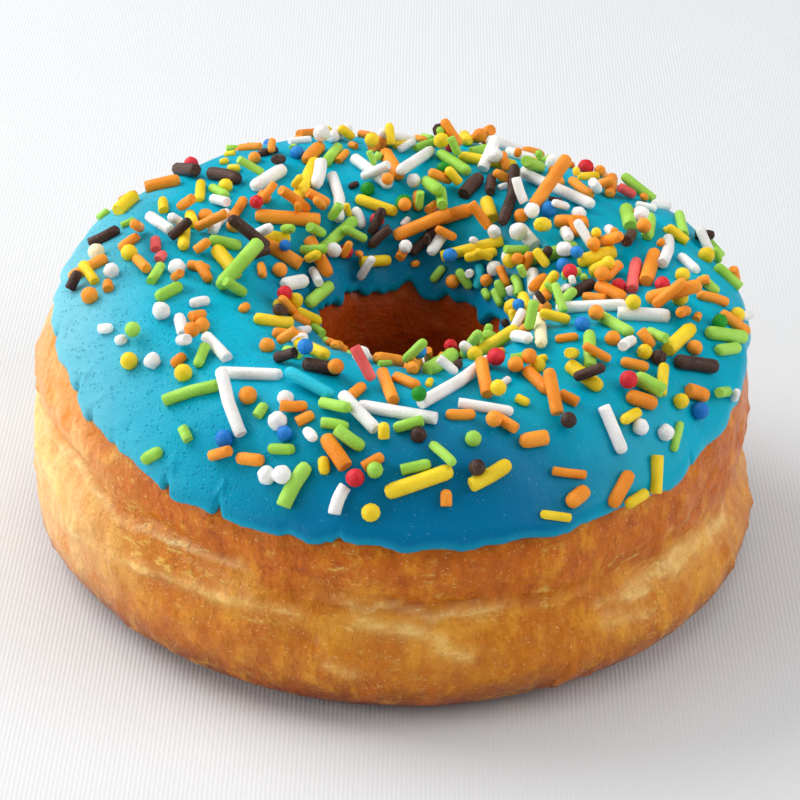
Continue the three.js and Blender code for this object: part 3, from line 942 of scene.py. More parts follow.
# %% The tree that wraps the icing over the dough
# The circles on which the noise of the two edges is read, and the way over the icing, from edge to
# edge, in millimetres. The bead is a swelling just inside the rim, by its share of that way.
OUTER_NOISE_RADIUS, INNER_NOISE_RADIUS, INNER_NOISE_LEVEL = 47.0, 14.0, 40.0
INNER_WOBBLE = degrees(5.0)
WAY_OVER = 58.0
BEAD_AT, BEAD_WIDTH = 0.05, 0.028
ICING_RELIEF_SIZES = {
    "Icing height": ICING_THICKNESS + ICING_GAP,
    "Rim bead": 0.28,
    "Scallop depth": 1.5,
    "Swell height": 0.34,
    "Ripple height": 0.07,
}


def icing_edges(tree, theta):
    """The cut's angles at the icing's outer and inner edge."""
    across, along = cosine(theta), sine(theta)
    round_ring = tree.vector(across * OUTER_NOISE_RADIUS, along * OUTER_NOISE_RADIUS, 0.0)
    scallops = (tree.noise(round_ring, 0.34, 3.0, 0.62) - 0.5) * 2.0
    scallops = scallops * degrees(tree.size("Scallop depth"))
    round_hole = tree.vector(
        across * INNER_NOISE_RADIUS, along * INNER_NOISE_RADIUS, INNER_NOISE_LEVEL
    )
    wobble = (tree.noise(round_hole, 0.3, 2.0) - 0.5) * INNER_WOBBLE
    return outer_edge(theta) + scallops + notches(theta), inner_edge(theta) + wobble


def icing_tree():
    tree = Tree("wrap the icing over the dough", RING | ICING_RELIEF_SIZES)
    theta, share, height = tree.parts(tree.node("GeometryNodeInputPosition").outputs[0])
    from_angle, to_angle = icing_edges(tree, theta)
    phi = from_angle + share * (to_angle - from_angle)
    tree.keep("around", theta)
    tree.keep("over", phi)
    tree.keep("from_edge", smaller(share, 1.0 - share) * WAY_OVER)
    tree.keep("top", smooth_step(height * 1.6 - 0.4))
    bead = tree.size("Rim bead") * exponential(-(((share - BEAD_AT) / BEAD_WIDTH) ** 2.0))
    bead = bead * larger(height, 0.0)
    ring = {label: tree.size(label) for label in RING}
    place = ring_point(theta, phi, height * tree.size("Icing height") + bead, ring)
    tree.through("GeometryNodeSetPosition", {"Position": tree.vector(*[part * MM for part in place])})

    place = millimetres(tree)
    swell = (tree.noise(place, 0.09, 2.0, 0.4) - 0.5) * 2.0 * tree.size("Swell height")
    ripple = (tree.noise(place, 0.45, 2.0) - 0.5) * 2.0 * tree.size("Ripple height")
    push_out(tree, (swell + ripple) * tree.kept("top"))
    return tree


# %% The icing's piece
ICING_STEPS = 900
icing = flat_pattern("blue_icing", icing_rows, ICING_STEPS)
tree = icing_tree()
tree.finish(icing_material)
tree.apply(icing)
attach(icing, "root")
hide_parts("icing")

# %% [markdown]
# ## Where the sprinkles lie
#
# Two kinds of sprinkles lie in the icing. Rods are sugar paste pressed through a sieve and broken, so
# their lengths differ, and some are a little bent. Balls are grains coated with sugar. The ones that
# catch the eye are named by the angles of their ends, read off the ring. A rule with a fixed seed lays
# the rest: most at the back, at the right and round the hole. Each new one either lies on the icing or
# leans with one end on those that are there, so they pile up as shaken sprinkles do. One that finds
# no free place is left out.

# %% Sprinkles that stand out
# A rod has the angles of its two ends, round the ring and up the cut, and then its colour.
THICK_RADIUS = 0.98
THICK_RODS = [
    (-106.8, 40.9, -104, 56.1, "lime"), (-102, 65.5, -97.4, 56.2, "orange"),
    (-91, 49.2, -80, 56.9, "yellow"), (-80.2, 102.5, -67.5, 116.7, "lime"),
    (-67, 63.4, -61.9, 63, "orange"),
    (-62.1, 40.1, -58.2, 43.4, "orange"), (-43.2, 65.5, -38.9, 58.6, "orange"),
    (-38.8, 69.6, -37.3, 59.8, "lime"), (-30.6, 56.4, -27.6, 50.6, "orange"),
    (-28.2, 65.3, -21.4, 54.4, "brown"), (-27.3, 69, -16.6, 67.7, "yellow"),
    (-19.7, 89.6, -16.3, 74.1, "white"), (10.8, 80.4, -4.1, 85.4, "orange"),
    (7.5, 105.3, 10.7, 92.9, "yellow"), (1.7, 102.3, 5.5, 94.2, "yellow"),
    (8, 132.1, -5.7, 122.3, "turquoise"), (30.6, 76.4, 22.2, 82.3, "lime"),
    (32.4, 101.6, 27.7, 93, "orange"), (22.8, 118.8, 13.7, 102.9, "lime"),
    (33.2, 103.7, 22.6, 111.9, "yellow"), (66.8, 104.3, 66.1, 92.8, "brown"),
    (59.1, 103.4, 51.1, 110.8, "yellow"), (76.4, 116.2, 59.9, 109, "orange"),
    (94.3, 85.1, 90.5, 102.9, "orange"), (115.3, 86.5, 108.7, 76.5, "orange"),
    (134.9, 89.9, 122.7, 89.3, "white"), (112.9, 90.4, 129.6, 106.8, "yellow"),
    (136.4, 71, 134.2, 83.2, "brown"), (148.7, 102.5, 129.2, 115.9, "orange"),
    (155.2, 107.7, 148, 115.8, "yellow"), (160, 111.6, 157.9, 124.5, "orange"),
    (173.5, 100.7, 186.8, 108.9, "yellow"), (-160.7, 100.7, -182.8, 114.4, "lime"),
    (-176.1, 123, -193.9, 129.1, "white"), (146.8, 59.4, 142, 67.1, "orange"),
    (158, 61.8, 151.5, 61.1, "yellow"),
]
THIN_RADIUS = 0.8
THIN_RODS = [
    (-135.5, 58.8, -126.8, 72.2, "lime"), (-126.9, 75, -117, 58.9, "white"),
    (-129.6, 75.4, -116.6, 85.1, "white"), (-132.5, 38.8, -129.9, 44.6, "lime"),
    (-116.7, 52, -111.8, 54.2, "orange"), (-108.6, 38.7, -107.7, 47, "orange"),
    (-98.6, 41, -97.3, 50.5, "white"), (-100.1, 67.2, -94.8, 62.9, "lime"),
    (-97, 79.8, -81.1, 73.9, "white"), (-86.2, 78, -62, 106.2, "white"),
    (-100.8, 80.2, -92.8, 69.6, "white"), (-49.3, 65.9, -50.1, 49.9, "white"),
    (-17.9, 57.3, -12.4, 51.3, "lime"), (-8.3, 61, -6.5, 49.2, "orange"),
    (-66.1, 98.4, -69.3, 83.2, "orange"), (-56, 90.8, -56.7, 77.5, "orange"),
    (-142.1, 85.3, -131, 82, "white"), (-142.6, 102.9, -138.8, 115.4, "yellow"),
    (-134.1, 103.8, -126.7, 114, "orange"), (-122, 103.5, -109.1, 100.2, "yellow"),
    (-114.9, 83.4, -102.6, 81.2, "turquoise"), (-92.6, 99.3, -90, 81, "orange"),
    (-22.9, 94.5, -28.6, 80.4, "lime"), (-19.7, 110.2, -15.5, 88.5, "white"),
    (-27.9, 113.9, -47.3, 97.6, "cream"), (-34, 91.5, -44.3, 80.1, "lime"),
    (-41.7, 113.3, -47, 100.9, "white"), (17.3, 72, 3.7, 79.7, "white"), (7, 87.6, -8, 89.2, "coral"),
    (15.3, 118.7, 2.8, 121.5, "white"), (28, 101.3, 14.7, 106.1, "white"),
    (29.6, 80.7, 33, 65.3, "orange"),
    (19.9, 83, 9.3, 90.8, "brown"), (-11.1, 112.8, -3.6, 100.4, "brown"),
    (56.7, 85.6, 32.1, 89.6, "white"),
    (59.1, 86.2, 43.4, 113.8, "brown"), (63.6, 127, 40.5, 116.1, "yellow"),
    (67.5, 117.3, 70.1, 127.8, "white"), (80.4, 82.1, 69.8, 94.9, "lime"),
    (81.4, 79.4, 90, 108.4, "white"),
    (102.9, 88.3, 94.3, 107.5, "white"), (110.7, 89.2, 104.7, 78.3, "lime"),
    (107.3, 109.6, 91.3, 116.6, "yellow"), (114.2, 131.4, 94.5, 131.8, "yellow"),
    (111.5, 98.7, 116.5, 117.9, "white"), (134.9, 123.3, 111.7, 119.2, "lime"),
    (139.7, 105.4, 121.7, 91.5, "yellow"), (149.5, 93.2, 163.7, 96.6, "white"),
    (169.9, 97.5, 169.9, 107.6, "lime"), (159.8, 73.5, 166.7, 84.8, "white"),
    (155.6, 84.2, 161.8, 89.7, "yellow"), (164.4, 88.1, 175.7, 91.7, "yellow"),
    (169.4, 59.1, 165.6, 67, "brown"), (-178.2, 56.7, -182.1, 68.1, "orange"),
    (-160.3, 80.4, -164.9, 89.5, "lime"), (-152.6, 83.6, -146.2, 80.1, "white"),
]
# A ball has the two angles of its place, and its colour.
BALL_RADIUS = 1.15
BALLS = [
    (-169.5, 62.6, "orange"), (174.6, 63.9, "cream"), (177.7, 74.9, "yellow"), (-174.9, 89.8, "white"),
    (-155.4, 79.3, "white"), (-147.8, 61.7, "yellow"), (-135.9, 69.3, "yellow"), (-120, 56.3, "blue"),
    (-119.9, 72, "orange"), (-111.6, 67.1, "white"), (-110.4, 49.5, "white"), (-107.4, 50.4, "white"),
    (-106.3, 37.2, "yellow"), (-95.6, 52.6, "red"), (-92.9, 42.5, "yellow"), (-61, 99.2, "red"),
    (-30.8, 49, "blue"), (-41.7, 68.5, "red"), (-8.9, 73.8, "yellow"), (12.3, 61.9, "yellow"),
    (38, 99.1, "blue"),
]
print(len(THICK_RODS) + len(THIN_RODS), "large rods and", len(BALLS), "large balls by name")

# %% Smaller sprinkles that stand out, by colour
SMALL_ROD_RADIUS = 0.7
SMALL_RODS = {
    "orange": [
        (-123.7, 56.4, -119.7, 62.6), (-94.7, 56.8, -91.4, 61.2), (-112, 70.7, -107.1, 74.8),
        (-108.1, 68.1, -105.4, 72.4), (-79.6, 75, -73.8, 75), (-70.1, 74.2, -67.2, 66.8),
        (-69.7, 58.8, -67.8, 62), (-43.3, 77.6, -41.7, 70.6), (-37.6, 75.8, -34.3, 68.9),
        (-5.6, 69, -3.6, 58.7), (-15.3, 81.5, -10.2, 71.7), (46.2, 79.4, 37.7, 82.8),
        (41.2, 77.9, 36.9, 74.6), (64.4, 69.9, 55.7, 78.8), (59.8, 65.8, 49.9, 71.8),
        (53.4, 75.4, 46.1, 84.3), (59.4, 110.1, 48.1, 114.6), (80.4, 104.6, 72.6, 98),
        (83.3, 106.4, 82.7, 113.4), (141.1, 103.8, 127.7, 111.2), (151.7, 97.2, 140.9, 93.1),
        (-95.3, 117.9, -85.4, 109.6), (-89.4, 97.1, -83.9, 90), (90.3, 131.1, 85, 125.6),
        (-81.2, 50.5, -81.4, 45.1), (-99.7, 82, -97.2, 89.8), (-128.3, 100, -122.3, 104.1),
        (-17.6, 72.1, -11.6, 70.7), (-2.4, 97.7, 2.8, 92.7), (151.3, 125.9, 142.4, 129),
        (-54.6, 75.7, -52.9, 70.1), (9, 56.1, 9.6, 50.3), (-31.8, 58.5, -27.8, 58.7),
        (-28.1, 78.7, -29, 72.3), (-121.3, 49.2, -117.3, 53.3), (-140, 69.6, -140.2, 75.1),
        (-149.8, 85.3, -151.2, 91.2), (-177.6, 93.1, -175, 99.9), (-174.4, 96.3, -167.1, 99),
        (179.7, 77.4, 186.1, 80.7), (-173, 68.6, -170, 68.2), (174.5, 71.2, 169.3, 75),
        (165.3, 74.2, 176.7, 78.6), (176.6, 94.5, 175, 99.5), (155.7, 79.5, 155.5, 86.3),
        (150.9, 54.8, 147.2, 56.2), (164.3, 90.7, 163.6, 101.4),
    ],
    "lime": [
        (-115.6, 71.7, -116.2, 66.7), (-105, 77.1, -98, 73.5), (-103.5, 69.9, -98.2, 70.1),
        (-123.1, 97.8, -116.8, 96.7), (-64.4, 73.7, -56.7, 74.8), (-66.5, 67.8, -60.4, 71.9),
        (-89.8, 70.5, -84.1, 71.7), (-88.4, 56.7, -83.4, 58.9), (-24.4, 78, -27.9, 70.1),
        (-23, 71.4, -19, 69), (-14.7, 87.4, -10.4, 78.1), (28.1, 59.2, 19.1, 66.2),
        (73, 77.9, 69.6, 68.4),
        (76.4, 112.5, 72.1, 103), (55.1, 121, 46.2, 114.7), (142.6, 117.3, 128.5, 119.6),
        (148.4, 119.4, 141.3, 127.2), (4.6, 110.6, 0.8, 104.5), (-55.2, 100.1, -48.7, 98),
        (-26.8, 50.4, -22.3, 46.6), (-59.9, 46.6, -55.9, 46.3), (1.1, 67.5, -2.3, 62.4),
        (-137.8, 81.2, -134.9, 73.7), (-128.4, 54, -126.1, 51.3), (-111.7, 58.1, -106.9, 59.9),
        (-176.8, 85.2, -169.2, 81.2), (-160.2, 100.2, -161.1, 109), (141.1, 78.5, 142.5, 87.1),
        (41.5, 64.7, 33.7, 62.3),
    ],
    "white": [
        (-76.2, 80.6, -65.6, 74.9), (-37.1, 63.1, -30, 62.1), (10.2, 71.6, 3.8, 68.2),
        (95.3, 78.8, 86.7, 71.6), (108.9, 113.1, 107.5, 120.5), (146, 84.8, 149, 93.2),
        (50.1, 98.6, 42.7, 103.6), (48.4, 104.3, 42.1, 109.6), (-30, 79.3, -36.6, 77.5),
        (-110.1, 90.3, -106.7, 96.9), (-65.3, 114.7, -59.5, 115.7), (-105.9, 66.5, -103.2, 62.7),
        (-110.8, 54.8, -110, 52), (-145.1, 78, -138.7, 76.3), (-159.1, 61.2, -157.4, 64.4),
        (-156, 88.9, -157, 95.4), (161.3, 84.8, 170.5, 86.6), (-154, 62.7, -153, 66),
    ],
    "yellow": [
        (-42.2, 88.5, -48.2, 83), (-48.2, 58.9, -43.2, 59.5), (19.6, 71.9, 16.3, 66),
        (-52.9, 34.9, -48.1, 35.3), (20.9, 94.6, 12.6, 98.7), (-179.1, 61.9, -173.9, 64.9),
        (152.1, 71.9, 157.1, 76.4), (140.5, 74, 148.6, 82.4), (-91.4, 65.6, -91.4, 70.7),
        (-101.6, 58.9, -100.8, 53.3),
    ],
    "brown": [
        (-122, 91.2, -115.3, 92.1), (-50.1, 79.4, -45.8, 71), (64.2, 89.8, 59.2, 100.6),
        (72.4, 117.6, 82.5, 128.6), (106.9, 127.4, 94.9, 122.2), (125.6, 87.4, 120.4, 82.8),
        (20.3, 61.3, 19.5, 55.6), (172.1, 110.9, 167.5, 115.1), (-109.1, 67.5, -105.9, 64.9),
        (-174.5, 56.5, -176.4, 61.7),
    ],
    "coral": [
        (-102.2, 95.1, -93.9, 90), (36, 73.5, 34.8, 67.9), (171.5, 81.4, 176.3, 82.8),
        (-179.4, 83.9, -182.3, 85.6),
    ],
    "turquoise": [(45.3, 125, 38.5, 133.1)],
}
SMALL_BALL_RADIUS = 1.02
SMALL_BALLS = {
    "red": [
        (-57.9, 70.4), (-4.8, 79.6), (-6.7, 93), (100, 118.4), (120.8, 126.3), (-160.3, 119.5),
        (-1.2, 107.2), (78.2, 75.5), (77.4, 106.6), (133, 57.7),
    ],
    "blue": [(-81.9, 111), (-113.4, 92.8), (-30.7, 95.7), (115.8, 80.1), (-109.4, 63.7)],
    "yellow": [
        (-52.2, 91.5), (26, 121.3), (25.9, 74), (0.1, 73.5), (-4.8, 55), (-33.5, 55.1), (-31.7, 73.3),
        (97.2, 83.3), (-67.2, 82.1), (-62.1, 110.4), (-160.4, 123.9), (138.8, 82.3),
    ],
    "orange": [
        (-58.7, 92.1), (-71.2, 70.6), (-21.7, 63.2), (17.8, 80.6), (-6.8, 97.8), (-25.9, 94.1),
        (-32.7, 83.6), (82.2, 118.3), (136.6, 97), (156.5, 100.2), (172.3, 120.5), (-128.2, 95.9),
        (-105, 90.8), (73.4, 68.1), (-146.6, 87.1), (-141.9, 80.4), (155.7, 89.9),
    ],
    "white": [
        (-112.1, 75.1), (-96.7, 69), (-15.8, 62.6), (-35.6, 67.7), (-50.4, 67.8), (-54.1, 69.9),
        (-44.6, 55.1), (-40.2, 49.8), (65.1, 85.1), (38.8, 104.4), (32.7, 119.8), (34.8, 125.1),
        (-6.4, 118.1), (133.5, 125.6), (-176.1, 69.9), (-144.3, 66.7),
    ],
    "green": [(77.5, 92.1), (-11.4, 60.5), (101.5, 106.5)],
    "lime": [(-75.6, 65.7), (-152.6, 68.6), (-92.6, 55.6)],
    "brown": [(-30.6, 69.2), (-57.2, 65.1), (-85.2, 67.8), (-76.2, 56.2), (-13.5, 58.2)],
}
small_rods, small_balls = (sum(map(len, table.values())) for table in (SMALL_RODS, SMALL_BALLS))
print(small_rods, "small rods and", small_balls, "small balls by name")

# %% Sizes of the sprinkles that the rule lays
# The first three sizes are the large ones. The source of the solids lays these too, and drops the few
# that touch nothing in its coarser icing. The last three are finer. Lengths and radii are in millimetres.
SPRINKLE_SEED = 7043
SPRINKLE_SIZES = [
    {"count": 14, "length": (6.5, 9.0), "radius": (0.78, 0.98), "tries": 4000},
    {"count": 32, "length": (4.2, 6.5), "radius": (0.75, 0.95), "tries": 4000},
    {"count": 8, "length": (0.0, 0.0), "radius": (1.1, 1.2), "tries": 4000},
    {"count": 104, "length": (2.4, 4.6), "radius": (0.55, 0.72), "tries": 1600},
    {"count": 32, "length": (0.0, 0.0), "radius": (0.8, 1.05), "tries": 800},
    {"count": 64, "length": (1.0, 2.2), "radius": (0.45, 0.62), "tries": 1200},
]
# The share of the radius that is sunk in the icing, and the share of two radii that may be between
# two sprinkles at least, as they press into each other a little.
SUNK_SHARE, NEAREST_SHARE = 0.4, 0.9
CLEAR_OF_EDGE = degrees(5)
# How far one may be raised to lie on others: in steps, and less on the outer slope, where it would slide.
PILE_CHANCE = 0.4
RAISE_STEP, MOST_RAISED, MOST_RAISED_SLOPE = 0.15, 2.4, 0.9
SLOPE_ENDS = degrees(75)
print(sum(size["count"] for size in SPRINKLE_SIZES), "sprinkles at most by the rule")


# %% Draws that are the same every time, and places on the icing
class Draws:
    """The same draws every time, from 0 to 1."""

    def __init__(self, seed):
        self.state = seed

    def __call__(self):
        self.state = (self.state * 1664525 + 1013904223) & 0xFFFFFFFF
        return self.state / 4294967296


def unit(v):
    return v / np.linalg.norm(v)


def on_icing(theta, phi):
    return np.array(ring_point(theta, phi, ICING_GAP + ICING_THICKNESS))


def icing_frame(theta, phi):
    """A place on the icing, the ways round and over it, and the way out of it."""
    step = 0.01
    along = unit(on_icing(theta + step, phi) - on_icing(theta - step, phi))
    over = unit(on_icing(theta, phi + step) - on_icing(theta, phi - step))
    return on_icing(theta, phi), along, over, unit(np.cross(along, over))


# %% One sprinkle
class Sprinkle:
    """A rod, or a ball of length 0, that lies at a place of the icing."""

    def __init__(self, place, heading, length, radius, raised, tilt):
        point, along, over, out = place
        from_axis = math.hypot(point[0], point[1])
        inwards = max(-(out[0] * point[0] + out[1] * point[1]) / from_axis, 0.0)
        bridge = inwards * (length * math.cos(heading) / 2) ** 2 / (2 * from_axis)
        self.middle = point + out * (radius * (1 - SUNK_SHARE) + bridge + raised)
        level = along * math.cos(heading) + over * math.sin(heading)
        self.way = level * math.cos(tilt) + out * math.sin(tilt)
        self.side = np.cross(self.way, out)
        self.length, self.radius, self.raised = length, radius, raised
        count = math.ceil(length) + 1
        shares = np.linspace(-0.5, 0.5, count) if count > 1 else np.zeros(1)
        self.points = self.middle + np.outer(shares * length, self.way)

    def over_hole(self):
        off = np.hypot(self.points[:, 0] - RING["Hole shift X"], self.points[:, 1] - RING["Hole shift Y"])
        return bool((off < RING["Hole radius"] + self.radius).any())


# %% The sprinkles that are laid
class Layer:
    """The sprinkles that are laid, and how near a new one comes to them."""

    def __init__(self):
        self.laid = []
        self.points = np.zeros((0, 3))
        self.radii = np.zeros(0)

    def nearest(self, sprinkle):
        if not self.laid:
            return math.inf
        apart = np.linalg.norm(self.points[:, None, :] - sprinkle.points[None, :, :], axis=2)
        return float((apart / (self.radii[:, None] + sprinkle.radius)).min())

    def rested(self, theta, phi, heading, length, radius, may_pile=True):
        place = icing_frame(theta, phi)
        most = MOST_RAISED_SLOPE if phi < SLOPE_ENDS else MOST_RAISED
        raised = 0.0
        while raised <= (most if may_pile else 0.0):
            lean = math.atan(2 * raised / length) if length > 0 else 0.0
            for tilt in (lean, -lean):
                sprinkle = Sprinkle(place, heading, length, radius, raised, tilt)
                if self.nearest(sprinkle) >= NEAREST_SHARE and not sprinkle.over_hole():
                    return sprinkle
            raised += RAISE_STEP
        return None

    def add(self, sprinkle, colour):
        sprinkle.colour = colour
        self.laid.append(sprinkle)
        self.points = np.vstack([self.points, sprinkle.points])
        self.radii = np.append(self.radii, np.full(len(sprinkle.points), sprinkle.radius))

    def between(self, ends, radius, colour):
        theta1, phi1, theta2, phi2 = np.radians(np.array(ends, float))
        theta, phi = (theta1 + theta2) / 2, (phi1 + phi2) / 2
        way = on_icing(theta2, phi2) - on_icing(theta1, phi1)
        _, along, over, _ = icing_frame(theta, phi)
        heading = math.atan2(way @ over, way @ along)
        sprinkle = self.rested(theta, phi, heading, float(np.linalg.norm(way)), radius)
        if sprinkle:
            self.add(sprinkle, colour)


# %% The rule for the rest
# How often each colour comes, for rods and for balls.
ROD_COLOURS = {
    "orange": 31, "lime": 27, "yellow": 17, "white": 17, "brown": 7, "coral": 0.5, "turquoise": 0.5,
}
BALL_COLOURS = {"white": 26, "yellow": 20, "orange": 20, "red": 18, "blue": 9, "brown": 4, "green": 3}
COLOUR_SEED = 307
pick = Draws(COLOUR_SEED)
# How likely a sprinkle stays where it falls: everywhere, more towards one side, and more towards
# the hole.
DENSITY, DENSITY_SWING, DENSITY_TO_HOLE = 0.3, 0.4, 0.2
DENSE_TOWARDS = degrees(40)


def any_colour(chances):
    left = pick() * sum(chances.values())
    for colour, chance in chances.items():
        left -= chance
        if left < 0:
            return colour
    return colour


def density(theta, phi):
    towards_hole = (math.degrees(phi) - 60) / 60
    return DENSITY + DENSITY_SWING * math.cos(theta - DENSE_TOWARDS) + DENSITY_TO_HOLE * towards_hole


def scatter(layer, size, draw):
    made = 0
    for _ in range(size["tries"]):
        if made == size["count"]:
            break
        theta = draw() * 2 * math.pi
        start = outer_edge(theta) + CLEAR_OF_EDGE
        phi = start + draw() * (inner_edge(theta) - CLEAR_OF_EDGE - start)
        chance, heading = draw(), draw() * 2 * math.pi
        shortest, longest = size["length"]
        length = shortest + draw() * (longest - shortest)
        thinnest, thickest = size["radius"]
        radius = thinnest + draw() * (thickest - thinnest)
        may_pile = draw() < PILE_CHANCE
        if chance < density(theta, phi):
            sprinkle = layer.rested(theta, phi, heading, length, radius, may_pile)
            if sprinkle:
                layer.add(sprinkle, any_colour(ROD_COLOURS if length > 0 else BALL_COLOURS))
                made += 1


# %% Laying the large sprinkles
layer = Layer()
for rod in THICK_RODS:
    layer.between(rod[:4], THICK_RADIUS, rod[4])
for rod in THIN_RODS:
    layer.between(rod[:4], THIN_RADIUS, rod[4])
for theta, phi, colour in BALLS:
    layer.between((theta, phi, theta, phi), BALL_RADIUS, colour)
named = len(layer.laid)
draw = Draws(SPRINKLE_SEED)
for size in SPRINKLE_SIZES[:3]:
    scatter(layer, size, draw)
large = len(layer.laid)
print(large, "large sprinkles:", named, "by name and", large - named, "by the rule")

# %% Laying the finer sprinkles
for colour, rods in SMALL_RODS.items():
    for rod in rods:
        layer.between(rod, SMALL_ROD_RADIUS, colour)
for colour, balls in SMALL_BALLS.items():
    for theta, phi in balls:
        layer.between((theta, phi, theta, phi), SMALL_BALL_RADIUS, colour)
named = len(layer.laid) - large
for size in SPRINKLE_SIZES[3:]:
    scatter(layer, size, draw)
finer = len(layer.laid) - large
print(finer, "finer sprinkles:", named, "by name and", finer - named, "by the rule")
print(len(layer.laid), "sprinkles in all")

# %% [markdown]
# ## Sugar rods and sugar balls
#
# A rod follows a short path, so Geometry Nodes sweep a ring of eight sides along it. Each path has
# seven points, whose thickness draws the rounded or broken ends. A ball is a small faceted sphere set
# on a point and turned at random. Both are then roughened by noise, because the sugar is a little
# knobbly. The white balls are coated the least evenly, so theirs are finer spheres with higher knobs.
# All rods of one colour are one piece, and so are all balls of one colour.

# %% Sugar finishes
SUGAR = {
    "orange": (255, 148, 20),
    "lime": (160, 218, 70),
    "yellow": (255, 216, 16),
    "white": (250, 248, 244),
    "brown": (58, 28, 16),
    "coral": (244, 92, 88),
    "turquoise": (0, 188, 212),
    "cream": (250, 236, 190),
    "red": (222, 18, 34),
    "blue": (0, 122, 214),
    "green": (10, 150, 20),
}
SUGAR_SHADER = {
    "Specular IOR Level": 0.3,
    "Subsurface Weight": 0.12,
    "Subsurface Radius": (1.0, 0.8, 0.6),
    "Subsurface Scale": 0.5 * MM,
}
# Chocolate sprinkles let no light through, and powder shows more on them.
BROWN_SHADER = SUGAR_SHADER | {"Subsurface Weight": 0.0}
POWDER_SHARE, POWDER_SHARE_ON_BROWN = 0.1, 0.16
POWDER = (250, 244, 232)
SUGAR_RELIEF = 0.13


def sugar_finish(colour):
    brown = colour == "brown"
    sugar = Finish(f"{colour} sugar", 0.42, BROWN_SHADER if brown else SUGAR_SHADER)
    paler = linear(*[v + (255 - v) * 0.1 for v in SUGAR[colour]])
    deeper = linear(*[v * 0.93 for v in SUGAR[colour]])
    tint = sugar.between(sugar.noise(0.16, 2.0), 0.38, 0.62)
    base = sugar.mix(tint, paler, deeper)
    powder = sugar.between(sugar.noise(3.2, 3.0, 0.6), 0.6, 0.74)
    powder = powder * (POWDER_SHARE_ON_BROWN if brown else POWDER_SHARE)
    sugar.colour(sugar.mix(powder, base, linear(*POWDER)))
    sugar.rough(0.34 + sugar.noise(2.0, 2.0) * 0.2)
    sugar.relief(sugar.noise(3.6, 3.0, 0.6), SUGAR_RELIEF)
    return sugar.material


sugar_materials = {colour: sugar_finish(colour) for colour in SUGAR}
print("sugar colours:", ", ".join(sugar_materials))


# %% The tree that sweeps the rods
ROD_SIZES = {"Sides": 8, "Grain height": 0.03, "Grain spacing": 0.9}


def knobbly(tree, height, spacing):
    """Pushes each point in or out by noise."""
    noise = tree.noise(millimetres(tree), 1.0 / tree.size(spacing), 2.0) - 0.5
    push_out(tree, noise * 2.0 * tree.size(height))


def rod_tree(colour):
    tree = Tree(f"sweep {colour} rods", ROD_SIZES)
    tree.through("GeometryNodeMeshToCurve", into="Mesh", out="Curve")
    circle = tree.node(
        "GeometryNodeCurvePrimitiveCircle", {"Resolution": tree.size("Sides"), "Radius": 1.0}
    )
    sweep = {
        "Profile Curve": circle.outputs["Curve"],
        "Scale": tree.kept("thickness"),
        "Fill Caps": True,
    }
    tree.through("GeometryNodeCurveToMesh", sweep, into="Curve", out="Mesh")
    knobbly(tree, "Grain height", "Grain spacing")
    return tree


# %% The tree that sets the balls
WHITE_BALL = {"Knob height": 0.26, "Knob spacing": 0.85, "Fineness": 3}
BALL = {"Knob height": 0.1, "Knob spacing": 1.1, "Fineness": 2}


def ball_tree(colour, seed):
    sizes = (WHITE_BALL if colour == "white" else BALL) | {"Seed": seed}
    tree = Tree(f"set {colour} balls", sizes)
    ball = tree.node(
        "GeometryNodeMeshIcoSphere", {"Radius": 1.0, "Subdivisions": tree.size("Fineness")}
    )
    whole_turn = (math.tau, math.tau, math.tau)
    turn = tree.node(
        "FunctionNodeRandomValue",
        {"Min": (0.0, 0.0, 0.0), "Max": whole_turn, "Seed": tree.size("Seed")},
        data_type="FLOAT_VECTOR",
    )
    set_ball = {
        "Instance": ball.outputs["Mesh"],
        "Scale": tree.kept("thickness"),
        "Rotation": turn.outputs[0],
    }
    tree.through("GeometryNodeInstanceOnPoints", set_ball, into="Points", out="Instances")
    tree.through("GeometryNodeRealizeInstances")
    knobbly(tree, "Knob height", "Knob spacing")
    return tree


# %% Paths and points for the sprinkles
# An end has three points: how far in from the tip, in radii, and how thick. A middle one joins them.
ROUND_END = [(0.0, 0.42), (0.28, 0.84), (0.95, 1.0)]
BROKEN_END = [(0.0, 0.86), (0.12, 0.98), (0.95, 1.0)]
ROD_POINTS = 7
ROUND_END_CHANCE, BENT_CHANCE = 0.62, 0.35
MOST_BENT = 0.16


def rod_path(sprinkle):
    """Points along a rod in metres, and the thickness at each."""
    ends = [ROUND_END if pick() < ROUND_END_CHANCE else BROKEN_END for _ in range(2)]
    bend = (pick() - 0.5) * 2 * MOST_BENT * sprinkle.length if pick() < BENT_CHANCE else 0.0
    half = sprinkle.length / 2
    places, sizes = [], []
    for end, sign in ((ends[0], -1), (reversed(ends[1]), 1)):
        for off, size in end:
            places.append(sign * max(half - off * sprinkle.radius, 0.05 * half))
            sizes.append(size)
    places.insert(3, 0.0)
    sizes.insert(3, 1.0)
    places = np.array(places)
    aside = bend * ((places / half) ** 2 - 0.33) / 2
    line = sprinkle.middle + np.outer(places, sprinkle.way) + np.outer(aside, sprinkle.side)
    return line * MM, np.array(sizes) * sprinkle.radius * MM


def sprinkle_piece(name, points, edges, thickness, tree, colour):
    mesh = bpy.data.meshes.new(name)
    mesh.from_pydata(points.tolist(), edges, [])
    kept = mesh.attributes.new("thickness", "FLOAT", "POINT")
    kept.data.foreach_set("value", thickness.astype(np.float32))
    item = bpy.data.objects.new(name, mesh)
    bpy.context.scene.collection.objects.link(item)
    tree.finish(sugar_materials[colour])
    tree.apply(item)
    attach(item, "root")
    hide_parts("icing")


